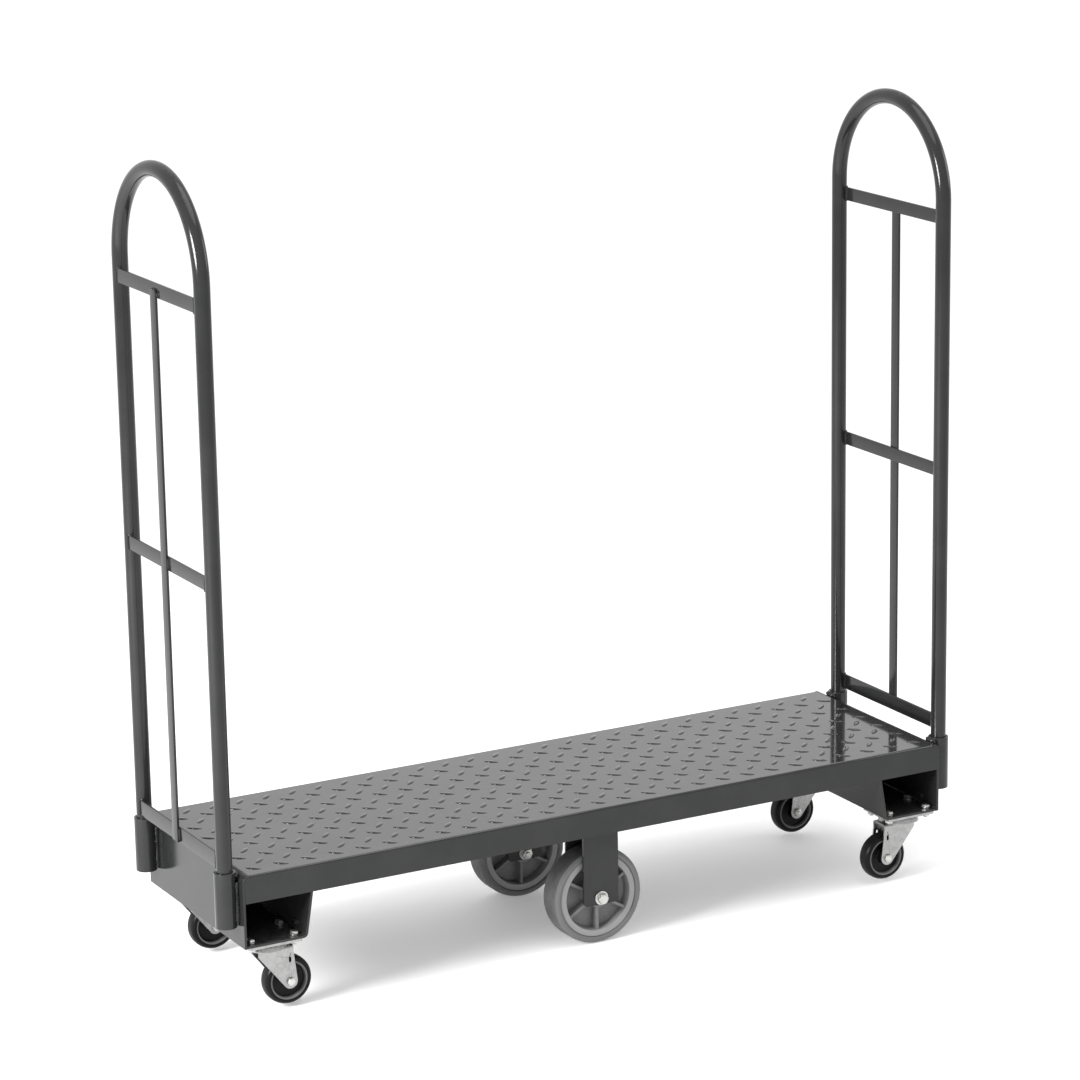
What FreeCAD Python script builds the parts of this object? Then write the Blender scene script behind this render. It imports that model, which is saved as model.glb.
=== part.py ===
import FreeCAD, Part
import math
import os

# Narrow-aisle stock truck: a long steel deck on four swivel casters and two larger centre
# wheels, with a lift-out arched handle in a pair of sockets at each end.
# Millimetres. X runs along the deck, Y across it, Z up. The origin is on the floor, under
# the middle of the deck. The near side is -Y and the left end is -X.

# ---------------------------------------------------------------- driving sizes
# deck
deck_length = 1600.0          # over the outer faces of the two end plates
deck_width = 457.0            # over the outer faces of the two side skirts
deck_sheet = 3.2
skirt_depth = 56.0            # loading surface to the skirt's lower edge
skirt_bend = 5.0              # outer radius of the fold between sheet and skirt

# end plates, each with a rounded top that turns over to meet the deck sheet
end_sheet = 5.0
end_bend = 13.0               # outer radius of the rounded top
end_flange = 2.0              # flat left between the rounded top and the deck sheet
end_drop = 147.0              # loading surface to the end plate's lower edge

# caster pans: a web under each end with one leaning inner wall
pan_sheet = 5.0
pan_margin = 9.5              # web in front of and behind the caster's top plate
pan_lean = 9.4                # degrees the inner wall leans towards the middle
pan_bend = 10.0               # outer radius between web and inner wall

# hidden stiffeners under the deck sheet
angle_leg = 40.0
angle_sheet = 4.0
rib_height = 34.0
rib_sheet = 5.0
rib_spacing = 190.0           # between the two long ribs, across the deck
rib_gap = 3.0                 # end of a rib to the part it is welded up to

# centre wheels
centre_wheel_radius = 100.0
centre_tyre_width = 58.0
centre_tyre_depth = 14.0      # rubber, measured radially
centre_rim_ring = 13.0        # flat ring inside the tyre
centre_web_sheet = 8.0
centre_hub_radius = 24.0
centre_hub_stand = 2.5        # hub beyond the tyre, each side
centre_rib_count = 6
centre_rib_sheet = 6.0
centre_rib_setback = 7.0      # ribs stop this far below the tyre's side face
centre_wheel_inset = 67.5     # skirt's outer face to the wheel's middle plane
centre_axle_radius = 6.35
centre_bolt_across = 20.0     # hexagon across flats
centre_bolt_head = 9.0
centre_nut_height = 10.5
centre_washer_radius = 14.5
centre_washer_sheet = 2.5
centre_spacer_radius = 13.0
centre_spacer_length = 2.25
centre_bush_wall = 3.5

# centre wheel brackets
bracket_width = 80.0
bracket_sheet = 5.0
bracket_foot = 14.0           # leg below the axle's middle
bracket_corner = 9.0

# casters
caster_wheel_radius = 50.0
caster_tyre_width = 32.0
caster_tyre_depth = 10.5
caster_hub_radius = 13.0
caster_hub_stand = 2.0        # hub beyond the tyre, each side
caster_web_sheet = 9.0
caster_lift = 8.0             # caster treads are this much above the centre treads
caster_inset = 51.5           # skirt's outer face to the kingpin
caster_lead = 41.0            # kingpin to axle, measured along the deck
caster_plate_long = 114.0
caster_plate_wide = 102.0
caster_plate_sheet = 5.0
caster_bolt_margin_long = 11.0   # plate's edge to a bolt, along the deck
caster_bolt_margin_wide = 17.5   # and across the deck
caster_bolt_radius = 4.5
caster_bolt_across = 15.0     # hexagon across flats
caster_bolt_head = 6.0
caster_washer_radius = 8.5
caster_washer_sheet = 1.5
caster_nut_height = 7.0
race_upper_radius = 38.0
race_upper_height = 5.0
race_overhang = 5.0           # lower race beyond the upper one
race_lower_height = 10.5
race_slope = 4.0              # how much narrower a race is at its far face
race_gap = 0.5
ball_radius = 3.2
ball_cover = 5.0              # ring of balls to the narrow end of the upper race
ball_count = 16
ball_room = 0.3               # groove around a ball
kingpin_radius = 6.0
kingpin_nut_across = 19.0
kingpin_nut_height = 6.0
kingpin_thread_end = 2.0
fork_sheet = 3.5
crown_sheet = 5.0
fork_room = 0.5               # each side of the wheel's hub
crown_room = 19.0             # wheel's tread to the crown above it
fork_front = 25.0             # crown in front of the kingpin
fork_tail = 8.0               # crown behind the axle's line
fork_eye = 15.0               # radius of the leg around the axle
fork_shoulder = 9.0           # upright part of the leg below the crown
fork_bend = 5.5               # outer radius of the fold between crown and leg
fork_eye_tangent = 35.0       # degrees below level where the front edge meets the eye
fork_slot_width = 5.0
fork_slot_height = 11.0
fork_slot_above = 45.0        # slot's middle above the axle
caster_axle_radius = 5.0
caster_axle_across = 15.0
caster_axle_head = 5.0
caster_axle_nut = 6.5

# sockets and handles
socket_wall = 4.9
socket_inner_gap = 0.4        # radial room around the handle tube
socket_length = 112.0
socket_rise = 5.0             # socket's top above the loading surface
socket_stop = 4.8             # thickness of the seat that the tube stands on
socket_drain = 10.0           # diameter of the drain hole in that seat
socket_stand_off = 0.2        # socket wall to end plate
weld_root = 4.0               # socket weld, measured across from the socket's middle
weld_toe = 15.0
weld_throat = 3.6
weld_end = 6.0                # foot of the weld above the socket's lower end
handle_inset = 35.0           # skirt's outer face to a post's middle line
handle_tube = 31.8
handle_wall = 2.0
handle_straight = 1133.6      # sockets' tops to where the arch starts
crossbar_sheet = 5.0
crossbar_offset = 10.0        # outboard of the posts' middle lines
crossbar_levels = ((7.0, 32.0), (555.0, 28.0), (1085.0, 28.0))   # lower edge above the sockets' tops, height
upright_width = 25.4
upright_sheet = 5.0

# clearances
running_fit = 0.06            # radial, a part that turns on its pin
bolt_room = 0.25              # radial, a bolt in its hole
thread_room = 0.02            # radial, a bolt in its own nut
thread_end = 3.0              # thread that stands out of a nut
side_play = 0.25              # each side of a hub, between the washers or legs
seat_room = 0.2               # tube end above the socket's seat
lap = 0.2                     # between a skirt and a part that passes behind it

# ---------------------------------------------------------------- sizes that follow
half_long = deck_length / 2
half_wide = deck_width / 2
centre_wheel_track = deck_width - 2 * centre_wheel_inset
caster_track = deck_width - 2 * caster_inset
handle_spacing = deck_width - 2 * handle_inset
centre_hub_length = centre_tyre_width + 2 * centre_hub_stand
bracket_inside = centre_hub_length + 2 * (side_play + centre_spacer_length)
caster_hub_length = caster_tyre_width + 2 * caster_hub_stand
fork_inside = caster_hub_length + 2 * fork_room
race_lower_radius = race_upper_radius + race_overhang
ball_circle = race_upper_radius - race_slope - ball_cover
caster_bolt_long = caster_plate_long - 2 * caster_bolt_margin_long
caster_bolt_wide = caster_plate_wide - 2 * caster_bolt_margin_wide
pan_depth = caster_plate_long + 2 * pan_margin
kingpin_x = half_long - pan_depth / 2
sheet_end = half_long - end_bend - end_flange
# heights, from the floor up through a caster to the loading surface
centre_axle_height = centre_wheel_radius
caster_axle_height = caster_lift + caster_wheel_radius
crown_low = caster_axle_height + caster_wheel_radius + crown_room
crown_top = crown_low + crown_sheet
race_top = crown_top + race_lower_height
race_face = race_top + race_gap
plate_low = race_face + race_upper_height
end_low = plate_low + caster_plate_sheet
pan_top = end_low + pan_sheet
deck_top = end_low + end_drop
deck_under = deck_top - deck_sheet
skirt_low = deck_top - skirt_depth
# sockets and handles
socket_outer = handle_tube + 2 * (socket_inner_gap + socket_wall)
socket_x = half_long + socket_stand_off + socket_outer / 2
socket_top = deck_top + socket_rise
socket_low = socket_top - socket_length
seat_top = socket_low + socket_stop
tube_low = seat_top + seat_room
arch_radius = handle_spacing / 2
arch_base = socket_top + handle_straight

os.makedirs("parts", exist_ok=True)
vec = FreeCAD.Vector
X_AXIS, Y_AXIS, Z_AXIS = vec(1, 0, 0), vec(0, 1, 0), vec(0, 0, 1)
ends = {"left": -1, "right": 1}
sides = {"near": -1, "far": 1}


# ---------------------------------------------------------------- small helpers
def box(x0, x1, y0, y1, z0, z1):
    """A box between the given limits, whichever order they come in."""
    x0, x1, y0, y1, z0, z1 = min(x0, x1), max(x0, x1), min(y0, y1), max(y0, y1), min(z0, z1), max(z0, z1)
    return Part.makeBox(x1 - x0, y1 - y0, z1 - z0, vec(x0, y0, z0))


def rod(radius, start, end):
    """A round bar from one point to another."""
    run = vec(*end) - vec(*start)
    return Part.makeCylinder(radius, run.Length, vec(*start), run)


def tube(outer, inner, start, end):
    """A round tube from one point to another."""
    return rod(outer, start, end).cut(rod(inner, start, end))


def hexagon(across, start, end):
    """A hexagonal bar, across flats, from one point to another, two flats level."""
    run = vec(*end) - vec(*start)
    side = Z_AXIS if abs(run.z) < 0.5 * run.Length else X_AXIS
    other = run.cross(side).normalize()
    radius = across / math.sqrt(3)
    ring = []
    for k in range(7):
        turn = math.radians(60 * k)
        ring.append(vec(*start) + other * (radius * math.cos(turn)) + side * (radius * math.sin(turn)))
    return Part.Face(Part.makePolygon(ring)).extrude(run)


def outline_xz(points, y0, y1):
    """A straight-sided outline in the X-Z plane, carried from y0 to y1."""
    ring = [vec(x, y0, z) for x, z in points]
    ring.append(ring[0])
    return Part.Face(Part.makePolygon(ring)).extrude(vec(0, y1 - y0, 0))


def outline_xy(points, z0, z1):
    """A straight-sided outline in the X-Y plane, carried from z0 to z1."""
    ring = [vec(x, y, z0) for x, y in points]
    ring.append(ring[0])
    return Part.Face(Part.makePolygon(ring)).extrude(vec(0, 0, z1 - z0))


def turned(profile, x, y, z):
    """A solid of revolution about a line along Y; profile is (radius, distance along Y)."""
    ring = [vec(x + r, y + d, z) for r, d in profile]
    ring.append(ring[0])
    return Part.Face(Part.makePolygon(ring)).revolve(vec(x, y, z), Y_AXIS, 360)


def round_edges(shape, radius, chosen):
    """Round the edges that the test picks out."""
    return shape.makeFillet(radius, [e for e in shape.Edges if chosen(e)])


def runs_along(edge, axis):
    """True for a straight edge that runs along the axis."""
    if len(edge.Vertexes) != 2:
        return False
    run = edge.Vertexes[1].Point - edge.Vertexes[0].Point
    return run.Length > 1e-6 and abs(run.normalize().dot(axis)) > 0.999


def flip(shape, end):
    """The left-end shape as it is, or turned half round for the right end."""
    if end > 0:
        shape = shape.copy()
        shape.rotate(vec(0, 0, 0), Z_AXIS, 180)
    return shape


def save(name, *solids):
    """Write one part."""
    shape = solids[0] if len(solids) == 1 else Part.makeCompound(list(solids))
    shape.exportStep("parts/" + name + ".step")


# ---------------------------------------------------------------- frame
def end_plate():
    """Left end plate: upright sheet whose top turns over to meet the deck sheet."""
    middle_x, middle_z = -half_long + end_bend, deck_top - end_bend
    inner = end_bend - end_sheet
    sheet = box(-half_long, -half_long + end_sheet, -half_wide, half_wide, end_low, middle_z)
    top = box(middle_x, -sheet_end, -half_wide, half_wide, deck_top - end_sheet, deck_top)
    turn = rod(end_bend, (middle_x, -half_wide, middle_z), (middle_x, half_wide, middle_z))
    turn = turn.cut(rod(inner, (middle_x, -half_wide, middle_z), (middle_x, half_wide, middle_z)))
    turn = turn.common(box(-half_long, middle_x, -half_wide, half_wide, middle_z, deck_top))
    return sheet.fuse(turn).fuse(top).removeSplitter()


def deck_sheet_with_skirts(left_end):
    """Deck sheet folded down along both long sides; the skirts run on to the end plates."""
    outer = box(-sheet_end, sheet_end, -half_wide, half_wide, skirt_low, deck_top)
    inner = box(-sheet_end, sheet_end, -half_wide + deck_sheet, half_wide - deck_sheet, skirt_low, deck_under)
    body = outer.cut(inner)
    body = round_edges(body, skirt_bend, lambda e: runs_along(e, X_AXIS)
                       and abs(e.Vertexes[0].Z - deck_top) < 0.01
                       and abs(abs(e.Vertexes[0].Y) - half_wide) < 0.01)
    for end in ends.values():
        for side in sides.values():
            run_on = box(end * sheet_end, end * (half_long - end_sheet),
                         side * (half_wide - deck_sheet), side * half_wide, skirt_low, deck_top - end_sheet)
            body = body.fuse(run_on.cut(flip(left_end, end)))
    return body.removeSplitter()


def pan_wall_x(height):
    """Outer face of the left pan's leaning wall at a height."""
    return -half_long + pan_depth + (height - end_low) * math.tan(math.radians(pan_lean))


def caster_pan():
    """Left pan: level web behind the end plate, bent up into a leaning wall under the deck."""
    start = -half_long + end_sheet
    step = pan_sheet / math.cos(math.radians(pan_lean))
    points = [(start, end_low), (pan_wall_x(end_low), end_low), (pan_wall_x(deck_under), deck_under),
              (pan_wall_x(deck_under) - step, deck_under), (pan_wall_x(pan_top) - step, pan_top),
              (start, pan_top)]
    pan = outline_xz(points, -half_wide, half_wide)
    for height, radius, x in ((end_low, pan_bend, pan_wall_x(end_low)),
                              (pan_top, pan_bend - pan_sheet, pan_wall_x(pan_top) - step)):
        pan = round_edges(pan, radius, lambda e: runs_along(e, Y_AXIS) and
                          abs(e.Vertexes[0].Z - height) < 0.01 and abs(e.Vertexes[0].X - x) < 0.01)
    for side in sides.values():
        pan = pan.cut(box(start, 0, side * (half_wide - deck_sheet - lap), side * half_wide,
                          skirt_low - lap, deck_top))
        for bolt in caster_bolt_places():
            place = (-kingpin_x + bolt[0], side * caster_track / 2 + bolt[1])
            pan = pan.cut(rod(caster_bolt_radius + bolt_room, (place[0], place[1], end_low - 1),
                              (place[0], place[1], pan_top + 1)))
    return pan


def cross_angle(end):
    """Angle across the deck beside the centre wheel brackets."""
    near = bracket_width / 2 + 1.0
    reach = half_wide - deck_sheet - lap
    flat = box(end * near, end * (near + angle_leg), -reach, reach, deck_under - angle_sheet, deck_under)
    drop = box(end * near, end * (near + angle_sheet), -reach, reach, deck_under - angle_leg, deck_under)
    return flat.fuse(drop).removeSplitter()


def deck_rib(end, side):
    """Flat rib on edge from the cross angle to the pan's wall."""
    start = bracket_width / 2 + 1.0 + angle_leg + rib_gap
    stop = -pan_wall_x(deck_under - rib_height) - pan_sheet - rib_gap
    stop = min(stop, -pan_wall_x(deck_under) - rib_gap)
    middle = side * rib_spacing / 2
    return box(end * start, end * stop, middle - rib_sheet / 2, middle + rib_sheet / 2,
               deck_under - rib_height, deck_under)


def wheel_bracket(side):
    """Inverted U that hangs from the deck sheet and carries one centre wheel."""
    middle = side * centre_wheel_track / 2
    reach = bracket_inside / 2 + bracket_sheet
    low = centre_axle_height - bracket_foot
    body = box(-bracket_width / 2, bracket_width / 2, middle - reach, middle + reach, low, deck_under)
    body = body.cut(box(-bracket_width, bracket_width, middle - bracket_inside / 2,
                        middle + bracket_inside / 2, low - 1, deck_under - bracket_sheet))
    body = round_edges(body, bracket_corner, lambda e: runs_along(e, Y_AXIS) and
                       abs(e.Vertexes[0].Z - low) < 0.01)
    hole = rod(centre_axle_radius + bolt_room, (0, middle - reach - 1, centre_axle_height),
               (0, middle + reach + 1, centre_axle_height))
    return body.cut(hole)


def socket(end, side):
    """Upright socket with a seat near its foot; the handle post stands on the seat."""
    x, y = end * socket_x, side * handle_spacing / 2
    bore = handle_tube / 2 + socket_inner_gap
    shape = rod(socket_outer / 2, (x, y, socket_low), (x, y, socket_top))
    shape = shape.cut(rod(bore, (x, y, seat_top), (x, y, socket_top + 1)))
    shape = shape.cut(rod(socket_drain / 2, (x, y, socket_low - 1), (x, y, seat_top + 1)))
    rim = [e for e in shape.Edges if abs(e.BoundBox.ZMin - socket_top) < 0.01
           and abs(e.BoundBox.ZMax - socket_top) < 0.01]
    return shape.makeChamfer(0.8, rim)


def socket_weld(end, side):
    """Two fillets that join a socket to the end plate and fill the gap between them."""
    x, y = end * socket_x, side * handle_spacing / 2
    face = end * half_long
    beads = []
    for hand in (-1, 1):
        root, toe, crest = hand * weld_root, hand * weld_toe, hand * (weld_toe + 1.0)
        points = [(face, y + root), (face, y + toe), (face + end * weld_throat, y + crest),
                  (face + end * 2 * weld_throat, y + toe), (face + end * weld_throat, y + root)]
        bead = outline_xy(points, socket_low + weld_end, deck_top - end_bend)
        beads.append(bead.cut(rod(socket_outer / 2, (x, y, socket_low - 1), (x, y, socket_top + 1))))
    return beads


# ---------------------------------------------------------------- centre wheels
def centre_wheel(side):
    """Tyre, spoked core and bush of one centre wheel."""
    y, z = side * centre_wheel_track / 2, centre_axle_height
    half = centre_tyre_width / 2
    outer, bed = centre_wheel_radius, centre_wheel_radius - centre_tyre_depth
    tyre = turned([(bed, -half), (outer - 5.0, -half), (outer - 1.5, -half + 3.0), (outer, -half + 8.0),
                   (outer, half - 8.0), (outer - 1.5, half - 3.0), (outer - 5.0, half), (bed, half)], 0, y, z)
    ring = bed - centre_rim_ring
    hub, hub_half = centre_hub_radius, centre_hub_length / 2
    bore = centre_axle_radius + running_fit + centre_bush_wall
    web = centre_web_sheet / 2
    rim_face = half - 3.0
    core = turned([(bore, -hub_half), (hub - 2.0, -hub_half), (hub, -hub_half + 2.0), (hub + 2.0, -web),
                   (ring - 3.0, -web), (ring, -rim_face), (bed, -rim_face), (bed, rim_face), (ring, rim_face),
                   (ring - 3.0, web), (hub + 2.0, web), (hub, hub_half - 2.0), (hub - 2.0, hub_half),
                   (bore, hub_half)], 0, y, z)
    rib_face = half - centre_rib_setback
    for k in range(centre_rib_count):
        rib = box(hub - 1.0, ring + 1.0, y - rib_face, y + rib_face,
                  z - centre_rib_sheet / 2, z + centre_rib_sheet / 2)
        rib.rotate(vec(0, y, z), Y_AXIS, 90.0 + 360.0 * k / centre_rib_count)
        core = core.fuse(rib)
    core = core.removeSplitter()
    bush = tube(bore, centre_axle_radius + running_fit, (0, y - hub_half, z), (0, y + hub_half, z))
    return tyre, core, bush


def centre_axle(side):
    """Bolt with its head and washer outside; nut, washer and spacers as separate pieces."""
    y, z = side * centre_wheel_track / 2, centre_axle_height
    leg = bracket_inside / 2 + bracket_sheet
    out, back = y + side * leg, y - side * leg
    head = out + side * centre_washer_sheet
    nut_face = back - side * centre_washer_sheet
    nut_end = nut_face - side * centre_nut_height
    bolt = rod(centre_axle_radius, (0, nut_end - side * thread_end, z), (0, head, z))
    bolt = bolt.fuse(rod(centre_washer_radius, (0, out, z), (0, head, z)))
    bolt = bolt.fuse(hexagon(centre_bolt_across, (0, head, z), (0, head + side * centre_bolt_head, z)))
    room = centre_axle_radius + thread_room
    nut = hexagon(centre_bolt_across, (0, nut_face, z), (0, nut_end, z))
    nut = nut.cut(rod(room, (0, back, z), (0, nut_end - side, z)))
    washer = tube(centre_washer_radius, room, (0, back, z), (0, nut_face, z))
    hub_end = centre_hub_length / 2 + side_play
    spacers = [tube(centre_spacer_radius, room, (0, y + k * hub_end, z), (0, y + k * bracket_inside / 2, z))
               for k in (-1, 1)]
    return bolt.removeSplitter(), [nut, washer] + spacers


# ---------------------------------------------------------------- casters
def caster_bolt_places():
    """The four bolt places around a kingpin."""
    return [(i * caster_bolt_long / 2, j * caster_bolt_wide / 2) for i in (-1, 1) for j in (-1, 1)]


def ball_groove(x, y):
    """The ring-shaped space that the balls run in, half in each race."""
    return Part.makeTorus(ball_circle, ball_radius + ball_room, vec(x, y, race_face - race_gap / 2))


def caster_balls(x, y):
    """The ring of balls between the two races."""
    turn = 2 * math.pi / ball_count
    return [Part.makeSphere(ball_radius, vec(x + ball_circle * math.cos(k * turn),
                                             y + ball_circle * math.sin(k * turn),
                                             race_face - race_gap / 2)) for k in range(ball_count)]


def caster_top(x, y):
    """Top plate with the upper race pressed into it."""
    plate = box(x - caster_plate_long / 2, x + caster_plate_long / 2,
                y - caster_plate_wide / 2, y + caster_plate_wide / 2, plate_low, end_low)
    plate = round_edges(plate, 6.0, lambda e: runs_along(e, Z_AXIS))
    race = Part.makeCone(race_upper_radius, race_upper_radius - race_slope, race_upper_height,
                         vec(x, y, plate_low), vec(0, 0, -1))
    plate = plate.fuse(race).cut(ball_groove(x, y))
    for i, j in caster_bolt_places():
        plate = plate.cut(rod(caster_bolt_radius + bolt_room, (x + i, y + j, plate_low - 1),
                              (x + i, y + j, end_low + 1)))
    plate = plate.cut(rod(kingpin_radius + bolt_room, (x, y, race_face - 1), (x, y, end_low + 1)))
    return plate.removeSplitter()


def kingpin(x, y):
    """Kingpin with a low head in the plate and a nut under the fork's crown."""
    nut_top = crown_low - side_play
    pin = rod(kingpin_radius, (x, y, nut_top - kingpin_nut_height - kingpin_thread_end), (x, y, end_low))
    nut = hexagon(kingpin_nut_across, (x, y, nut_top - kingpin_nut_height), (x, y, nut_top))
    return pin.fuse(nut).removeSplitter()


def caster_fasteners(x, y):
    """Four bolts with their heads in the pan and four nuts under the top plate."""
    parts = []
    for i, j in caster_bolt_places():
        px, py = x + i, y + j
        nut_low, head = plate_low - caster_nut_height, pan_top + caster_washer_sheet
        bolt = rod(caster_bolt_radius, (px, py, nut_low - thread_end), (px, py, pan_top))
        bolt = bolt.fuse(rod(caster_washer_radius, (px, py, pan_top), (px, py, head)))
        bolt = bolt.fuse(hexagon(caster_bolt_across, (px, py, head),
                                 (px, py, head + caster_bolt_head))).removeSplitter()
        nut = hexagon(caster_bolt_across, (px, py, nut_low), (px, py, plate_low))
        hole = rod(caster_bolt_radius + thread_room, (px, py, nut_low - 1), (px, py, plate_low + 1))
        parts += [bolt, nut.cut(hole)]
    return parts


def fork(x, y, end):
    """Swivel fork: a folded channel trimmed to the legs' outline, with the lower race on top."""
    trail = -end
    axle_x, axle_z = x + trail * caster_lead, caster_axle_height
    reach, inside = fork_inside / 2 + fork_sheet, fork_inside / 2
    front, tail = x - trail * fork_front, axle_x + trail * fork_tail
    low = axle_z - fork_eye
    ends_x = (min(front, tail) - fork_eye, max(front, tail) + fork_eye)
    outer = round_edges(box(*ends_x, y - reach, y + reach, low, crown_top), fork_bend,
                        lambda e: runs_along(e, X_AXIS) and abs(e.Vertexes[0].Z - crown_top) < 0.01)
    inner = round_edges(box(ends_x[0] - 1, ends_x[1] + 1, y - inside, y + inside, low - 1, crown_low),
                        fork_bend - fork_sheet,
                        lambda e: runs_along(e, X_AXIS) and abs(e.Vertexes[0].Z - crown_low) < 0.01)
    shoulder = crown_low - fork_shoulder
    tangent = math.radians(fork_eye_tangent)
    eye_side = (axle_x - trail * fork_eye * math.cos(tangent), axle_z - fork_eye * math.sin(tangent))
    outline = outline_xz([(front, crown_top), (tail, crown_top), (tail, shoulder),
                          (axle_x + trail * fork_eye, axle_z), (axle_x, axle_z), eye_side,
                          (front, shoulder)], y - reach, y + reach)
    outline = outline.fuse(rod(fork_eye, (axle_x, y - reach, axle_z), (axle_x, y + reach, axle_z)))
    race = Part.makeCone(race_lower_radius, race_lower_radius - race_slope, race_lower_height,
                         vec(x, y, crown_top), Z_AXIS)
    body = outer.cut(inner).common(outline).fuse(race).removeSplitter().cut(ball_groove(x, y))
    cross = reach + 1
    body = body.cut(rod(caster_axle_radius + bolt_room, (axle_x, y - cross, axle_z),
                        (axle_x, y + cross, axle_z)))
    body = body.cut(rod(kingpin_radius + running_fit, (x, y, crown_low - 1), (x, y, race_top + 1)))
    slot_z = axle_z + fork_slot_above
    half, rise = fork_slot_width / 2, (fork_slot_height - fork_slot_width) / 2
    slot = box(axle_x - half, axle_x + half, y - cross, y + cross, slot_z - rise, slot_z + rise)
    for k in (-1, 1):
        end_z = slot_z + k * rise
        slot = slot.fuse(rod(half, (axle_x, y - cross, end_z), (axle_x, y + cross, end_z)))
    return body.cut(slot)


def caster_axle(x, y, end):
    """Axle bolt with its head on the outer leg and its nut on the inner leg."""
    side = -1 if y < 0 else 1
    axle_x, axle_z = x - end * caster_lead, caster_axle_height
    reach = fork_inside / 2 + fork_sheet
    out, back = y + side * reach, y - side * reach
    nut_end = back - side * caster_axle_nut
    bolt = rod(caster_axle_radius, (axle_x, nut_end - side * thread_end, axle_z), (axle_x, out, axle_z))
    bolt = bolt.fuse(hexagon(caster_axle_across, (axle_x, out, axle_z),
                             (axle_x, out + side * caster_axle_head, axle_z))).removeSplitter()
    nut = hexagon(caster_axle_across, (axle_x, back, axle_z), (axle_x, nut_end, axle_z))
    nut = nut.cut(rod(caster_axle_radius + thread_room, (axle_x, back, axle_z),
                      (axle_x, nut_end - side, axle_z)))
    return bolt, nut


def caster_wheel(x, y, end):
    """Tyre and core of one caster wheel."""
    axle_x, z = x - end * caster_lead, caster_axle_height
    half, hub_half = caster_tyre_width / 2, caster_hub_length / 2
    outer, bed = caster_wheel_radius, caster_wheel_radius - caster_tyre_depth
    tyre = turned([(bed, -half + 1.0), (bed + 1.0, -half), (outer - 5.0, -half), (outer - 1.6, -half + 2.6),
                   (outer, -half + 7.0), (outer, half - 7.0), (outer - 1.6, half - 2.6), (outer - 5.0, half),
                   (bed + 1.0, half), (bed, half - 1.0)], axle_x, y, z)
    bore, hub = caster_axle_radius + running_fit, caster_hub_radius
    web, rim_face = caster_web_sheet / 2, half - 1.0
    core = turned([(bore, -hub_half), (hub - 1.0, -hub_half), (hub, -hub_half + 1.0), (hub + 2.0, -web),
                   (bed - 6.0, -web), (bed - 3.0, -rim_face), (bed, -rim_face), (bed, rim_face),
                   (bed - 3.0, rim_face), (bed - 6.0, web), (hub + 2.0, web), (hub, hub_half - 1.0),
                   (hub - 1.0, hub_half), (bore, hub_half)], axle_x, y, z)
    return tyre, core


# ---------------------------------------------------------------- handles
def handle_frame(end):
    """One bent tube: two posts joined by a half-round arch."""
    x, outer, inner = end * socket_x, handle_tube / 2, handle_tube / 2 - handle_wall
    shape = None
    for side in sides.values():
        y = side * arch_radius
        post = tube(outer, inner, (x, y, tube_low), (x, y, arch_base))
        shape = post if shape is None else shape.fuse(post)
    rings = []
    for radius in (outer, inner):
        rings.append(Part.Wire(Part.makeCircle(radius, vec(x, -arch_radius, arch_base), Z_AXIS)))
    arch = Part.Face(rings).revolve(vec(x, 0, arch_base), X_AXIS, -180)
    if arch.Volume < 0:
        arch = arch.reversed()
    if arch.BoundBox.ZMin < arch_base - 1.0:
        arch = Part.Face(rings).revolve(vec(x, 0, arch_base), X_AXIS, 180)
    return shape.fuse(arch).removeSplitter()


def crossbar(end, rise, height):
    """Flat bar between the posts, its ends shaped to the tubes."""
    low = socket_top + rise
    x, middle = end * socket_x, end * (socket_x + crossbar_offset)
    bar = box(middle - crossbar_sheet / 2, middle + crossbar_sheet / 2, -arch_radius, arch_radius,
              low, low + height)
    for side in sides.values():
        y = side * arch_radius
        bar = bar.cut(rod(handle_tube / 2, (x, y, low - 1), (x, y, low + height + 1)))
    return bar


def upright_bar(end):
    """Flat upright on the outboard faces of the crossbars."""
    face = end * (socket_x + crossbar_offset + crossbar_sheet / 2)
    lowest, highest = crossbar_levels[0], crossbar_levels[-1]
    return box(face, face + end * upright_sheet, -upright_width / 2, upright_width / 2,
               socket_top + lowest[0] + 2.0, socket_top + highest[0] + highest[1] / 2)


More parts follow.
